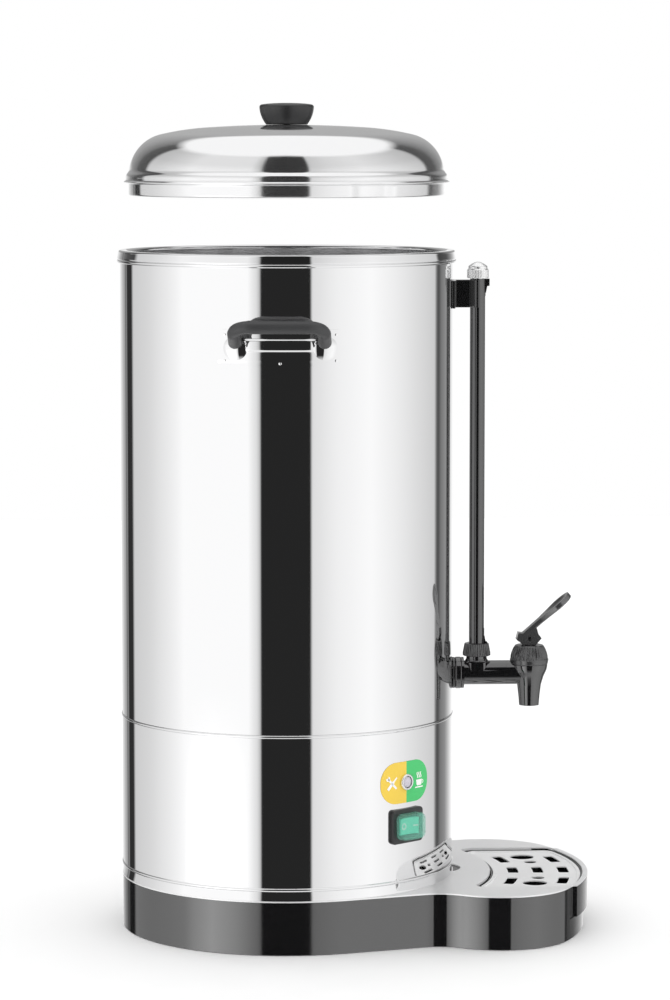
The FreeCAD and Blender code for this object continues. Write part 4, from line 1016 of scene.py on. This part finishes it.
# %% [markdown]
# ### Plates of the handles
# Each plate is pressed from thin polished sheet and spot-welded to the tank. A fine upright line is traced
# and spun part of the way round, and the long emboss between the feet is raised row by row. Round domes,
# turned about an axis that points away from the tank, cover the feet, and small ones are the spot welds.

# %% Handle plates
plate_rows = [431.0, 431.3, 433.9, 434.3, 436, 439, 441, 441.5, 442.0, 442.5, 443.0, 445, 447, 449.0,
              449.5, 450.0, 450.5, 451, 453, 455, 457.0, 457.3]
plate_r = 125.9
plate_half_turn = 21.4
plate_middle = 444.15
plate_step = 0.5
emboss_low = 441.0
emboss_high = 451.0
emboss_half_turn = 12.5
emboss_rise = [0.0, 0.15, 0.5, 0.85, 1.0]


def steps_up(value, first):
    # How far up the slope of the emboss a row or a column stands, from 0 to 4.
    return max(0, min(4, round((value - first) / plate_step)))


def button(azimuth, z, radius, height, reach):
    turn = math.radians(azimuth)
    away = Vector((math.cos(turn), math.sin(turn), 0))
    side = Vector((-math.sin(turn), math.cos(turn), 0))
    middle = on_wall(reach, z, azimuth)
    ball = (radius**2 + height**2) / (2 * height)
    widest = math.degrees(math.asin(radius / ball))
    bow = [(ball * math.sin(math.radians(a)), ball * math.cos(math.radians(a)) - ball + height)
           for a in [widest * (1 - i / 10) for i in range(11)]]
    points = [(0, -0.3), (radius, -0.3)] + bow
    piece = trace("button", points, lambda p: middle + side * p[0] * MM + away * p[1] * MM, closed=False)
    spin(40, *(middle / MM), axis=away)
    bpy.ops.object.shade_smooth_by_angle(angle=math.radians(40))
    return piece


step_out = 1.0018
step_in = 0.9935
plate_size = (91.0, 26.3)


def handle_plate(azimuth):
    start = azimuth + plate_half_turn
    piece = trace("plate", plate_rows, lambda z: on_wall(plate_r, z, start), closed=False)
    bpy.ops.mesh.spin(steps=86, angle=math.radians(2 * plate_half_turn), center=(0, 0, 0), axis=(0, 0, 1))
    bpy.ops.mesh.select_all(action="SELECT")
    bpy.ops.mesh.remove_doubles(threshold=same_seam)
    bpy.ops.object.mode_set(mode="OBJECT")

    def level_of(co):
        z = co.z / MM
        off = near_turn(compass(co), azimuth)
        rows = min(steps_up(z, emboss_low), steps_up(-z, -emboss_high))
        return rows, steps_up(-off, -emboss_half_turn)

    levels = {v.index: level_of(v.co) for v in piece.data.vertices}
    for row in range(1, 5):
        for column in range(1, 5):
            picked = [v for v, pair in levels.items() if pair == (row, column)]
            select_where(piece, lambda co: False)
            bpy.ops.object.mode_set(mode="OBJECT")
            for index in picked:
                piece.data.vertices[index].select = True
            bpy.ops.object.mode_set(mode="EDIT")
            factor = 1 + emboss_rise[row] * emboss_rise[column] / plate_r
            bpy.ops.transform.resize(value=(factor, factor, 1), center_override=(0, 0, 0))
            bpy.ops.object.mode_set(mode="OBJECT")
    # Everything above the lowest strip stands a little further out, and then the sheet gets its thickness.
    select_where(piece, lambda co: co.z > 434.1 * MM)
    bpy.ops.transform.resize(value=(step_out, step_out, 1), center_override=(0, 0, 0))
    bpy.ops.mesh.select_all(action="SELECT")
    bpy.ops.mesh.extrude_region_move(TRANSFORM_OT_translate={"value": (0, 0, 0)})
    bpy.ops.transform.resize(value=(step_in, step_in, 1), center_override=(0, 0, 0))
    bpy.ops.mesh.select_all(action="SELECT")
    bpy.ops.mesh.normals_make_consistent(inside=False)
    bpy.ops.object.mode_set(mode="OBJECT")
    # The outline is cut by a box with round corners.
    cutter = box_cutter(*plate_size, tank_r, plate_middle, azimuth, 60)
    bpy.ops.object.transform_apply(location=True, rotation=True, scale=True)
    corners = cutter.modifiers.new("corners", "BEVEL")
    corners.width = 4 * MM
    corners.segments = 8
    bpy.ops.object.modifier_apply(modifier=corners.name)
    cut(piece, cutter, "INTERSECT")
    bpy.ops.object.shade_smooth_by_angle(angle=math.radians(30))
    apply(piece, "WEIGHTED_NORMAL", keep_sharp=True)
    return piece


def join(parts):
    use_only(parts[0])
    for part in parts[1:]:
        part.select_set(True)
    bpy.ops.object.join()
    return bpy.context.object


foot_turn = math.degrees(math.asin(foot_half / tank_r))
weld_turn = 18.6
for side, azimuth in handle_turns.items():
    parts = [handle_plate(azimuth)]
    parts += [button(azimuth + way * foot_turn, handle_level, 9, 2.3, 125.95) for way in (-1, 1)]
    for way in (-1, 1):
        parts += [button(azimuth + way * weld_turn, z, 1.3, 0.3, 126.0) for z in (434.9, 453.6)]
    parts += [button(azimuth, 433.0, 1.1, 0.3, plate_r)]
    dress(join(parts), f"handle_plate_{side}", mirror_steel)
print("plate", [round(v / MM, 1) for v in dressed["handle_plate_front"].dimensions])

# %% [markdown]
# ## Signs on the label
# The label carries two printed signs. They are plain pictograms, cut as thin flat plates that lie
# on the film: crossed tools on the left for service, and a steaming cup on the right for hot water.

# %% Pictograms
def label_place(azimuth, out):
    turn = math.radians(azimuth)

    def place(point):
        x = out * math.cos(turn) - point[0] * math.sin(turn)
        y = out * math.sin(turn) + point[0] * math.cos(turn)
        return Vector((x * MM, y * MM, (label_level + point[1]) * MM))

    return place


film_r = 125.37
ink_depth = 0.05


def inked(name, points, azimuth):
    piece = trace(name, points, label_place(azimuth, film_r))
    bpy.ops.mesh.edge_face_add()
    step = on_wall(ink_depth, 0, azimuth)
    bpy.ops.mesh.extrude_region_move(TRANSFORM_OT_translate={"value": step})
    bpy.ops.mesh.select_all(action="SELECT")
    bpy.ops.mesh.normals_make_consistent(inside=False)
    bpy.ops.object.mode_set(mode="OBJECT")
    return piece


def bar_points(x0, y0, x1, y1, half):
    long = math.hypot(x1 - x0, y1 - y0)
    side_x, side_y = (y0 - y1) / long * half, (x1 - x0) / long * half
    return [(x0 - side_x, y0 - side_y), (x1 - side_x, y1 - side_y), (x1 + side_x, y1 + side_y),
            (x0 + side_x, y0 + side_y)]


def wave_points(x, low, high, half):
    parts = [i / 6 for i in range(7)]
    spots = [(x + 0.45 * math.sin(2 * math.pi * t), low + (high - low) * t) for t in parts]
    return [(a - half, b) for a, b in spots] + [(a + half, b) for a, b in reversed(spots)]


def sign(pieces, name):
    piece = join(pieces)
    piece.name = name
    piece.data.name = name
    paint(piece, white_print)
    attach(piece, body_of("status_label"))
    return piece


sign_turn = math.degrees(14.2 / 125.4)
left_turn = panel_azimuth - sign_turn
right_turn = panel_azimuth + sign_turn
tools = {
    "wrench": bar_points(-4.0, 4.0, 4.0, -4.0, 0.8),
    "driver grip": bar_points(-4.2, -4.2, 1.4, 1.4, 1.1),
    "driver blade": bar_points(1.4, 1.4, 4.3, 4.3, 0.6),
    "wrench jaw": arc((-4.0, 4.0), 1.9, 180, 450, 12) + [(-3.2, 4.8)],
}
service_sign = sign([inked(name, points, left_turn) for name, points in tools.items()], "service_sign")
cup = [(-3.5, 0.2), (-3.0, -3.4), (-2.0, -4.2), (2.0, -4.2), (3.0, -3.4), (3.5, 0.2)]
ear = arc((3.6, -1.6), 1.6, 80, -80, 7) + arc((3.6, -1.6), 0.9, -80, 80, 7)
drink = {"cup": cup, "saucer": bar_points(-4.6, -5.4, 4.6, -5.4, 0.45), "ear": ear}
for x in (-2.0, 0.0, 2.0):
    drink[f"steam {x}"] = wave_points(x, 1.4, 5.8, 0.5)
hot_sign = sign([inked(name, points, right_turn) for name, points in drink.items()], "hot_water_sign")
for made in (service_sign, hot_sign):
    print(made.name, [round(v / MM, 1) for v in made.dimensions])

# %% [markdown]
# ## Copies with softened edges
# Most of the remaining pieces are moulded or pressed and already have the right shape. The solid is copied,
# its loose triangles are joined, flat areas are made whole again, and a small bevel softens its edges. Only
# the seat cup keeps its solid as it is.

# %% Softened copies
def softened(name, edge):
    use_only(nodes[name])
    bpy.ops.object.duplicate()
    piece = use_only(bpy.context.object)
    piece.parent = None
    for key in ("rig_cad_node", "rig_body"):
        if key in piece:
            del piece[key]
    bpy.ops.object.mode_set(mode="EDIT")
    bpy.ops.mesh.select_all(action="SELECT")
    bpy.ops.mesh.remove_doubles(threshold=0.000002)
    bpy.ops.mesh.dissolve_limited(angle_limit=math.radians(0.4))
    bpy.ops.object.mode_set(mode="OBJECT")
    shade(piece, edge)
    dress(piece, name, nodes[name].material_slots[0].material)


usual_edge = 0.0003
soft_edges = {"tap_lever": 0.0005, "drip_tray": 0.0006, "base_housing": 0.0006}
for name in sorted(nodes):
    if name not in dressed and name != "seat_cup":
        softened(name, soft_edges.get(name, usual_edge))
print("dressed pieces:", len(dressed))

# %% Import of json
import json
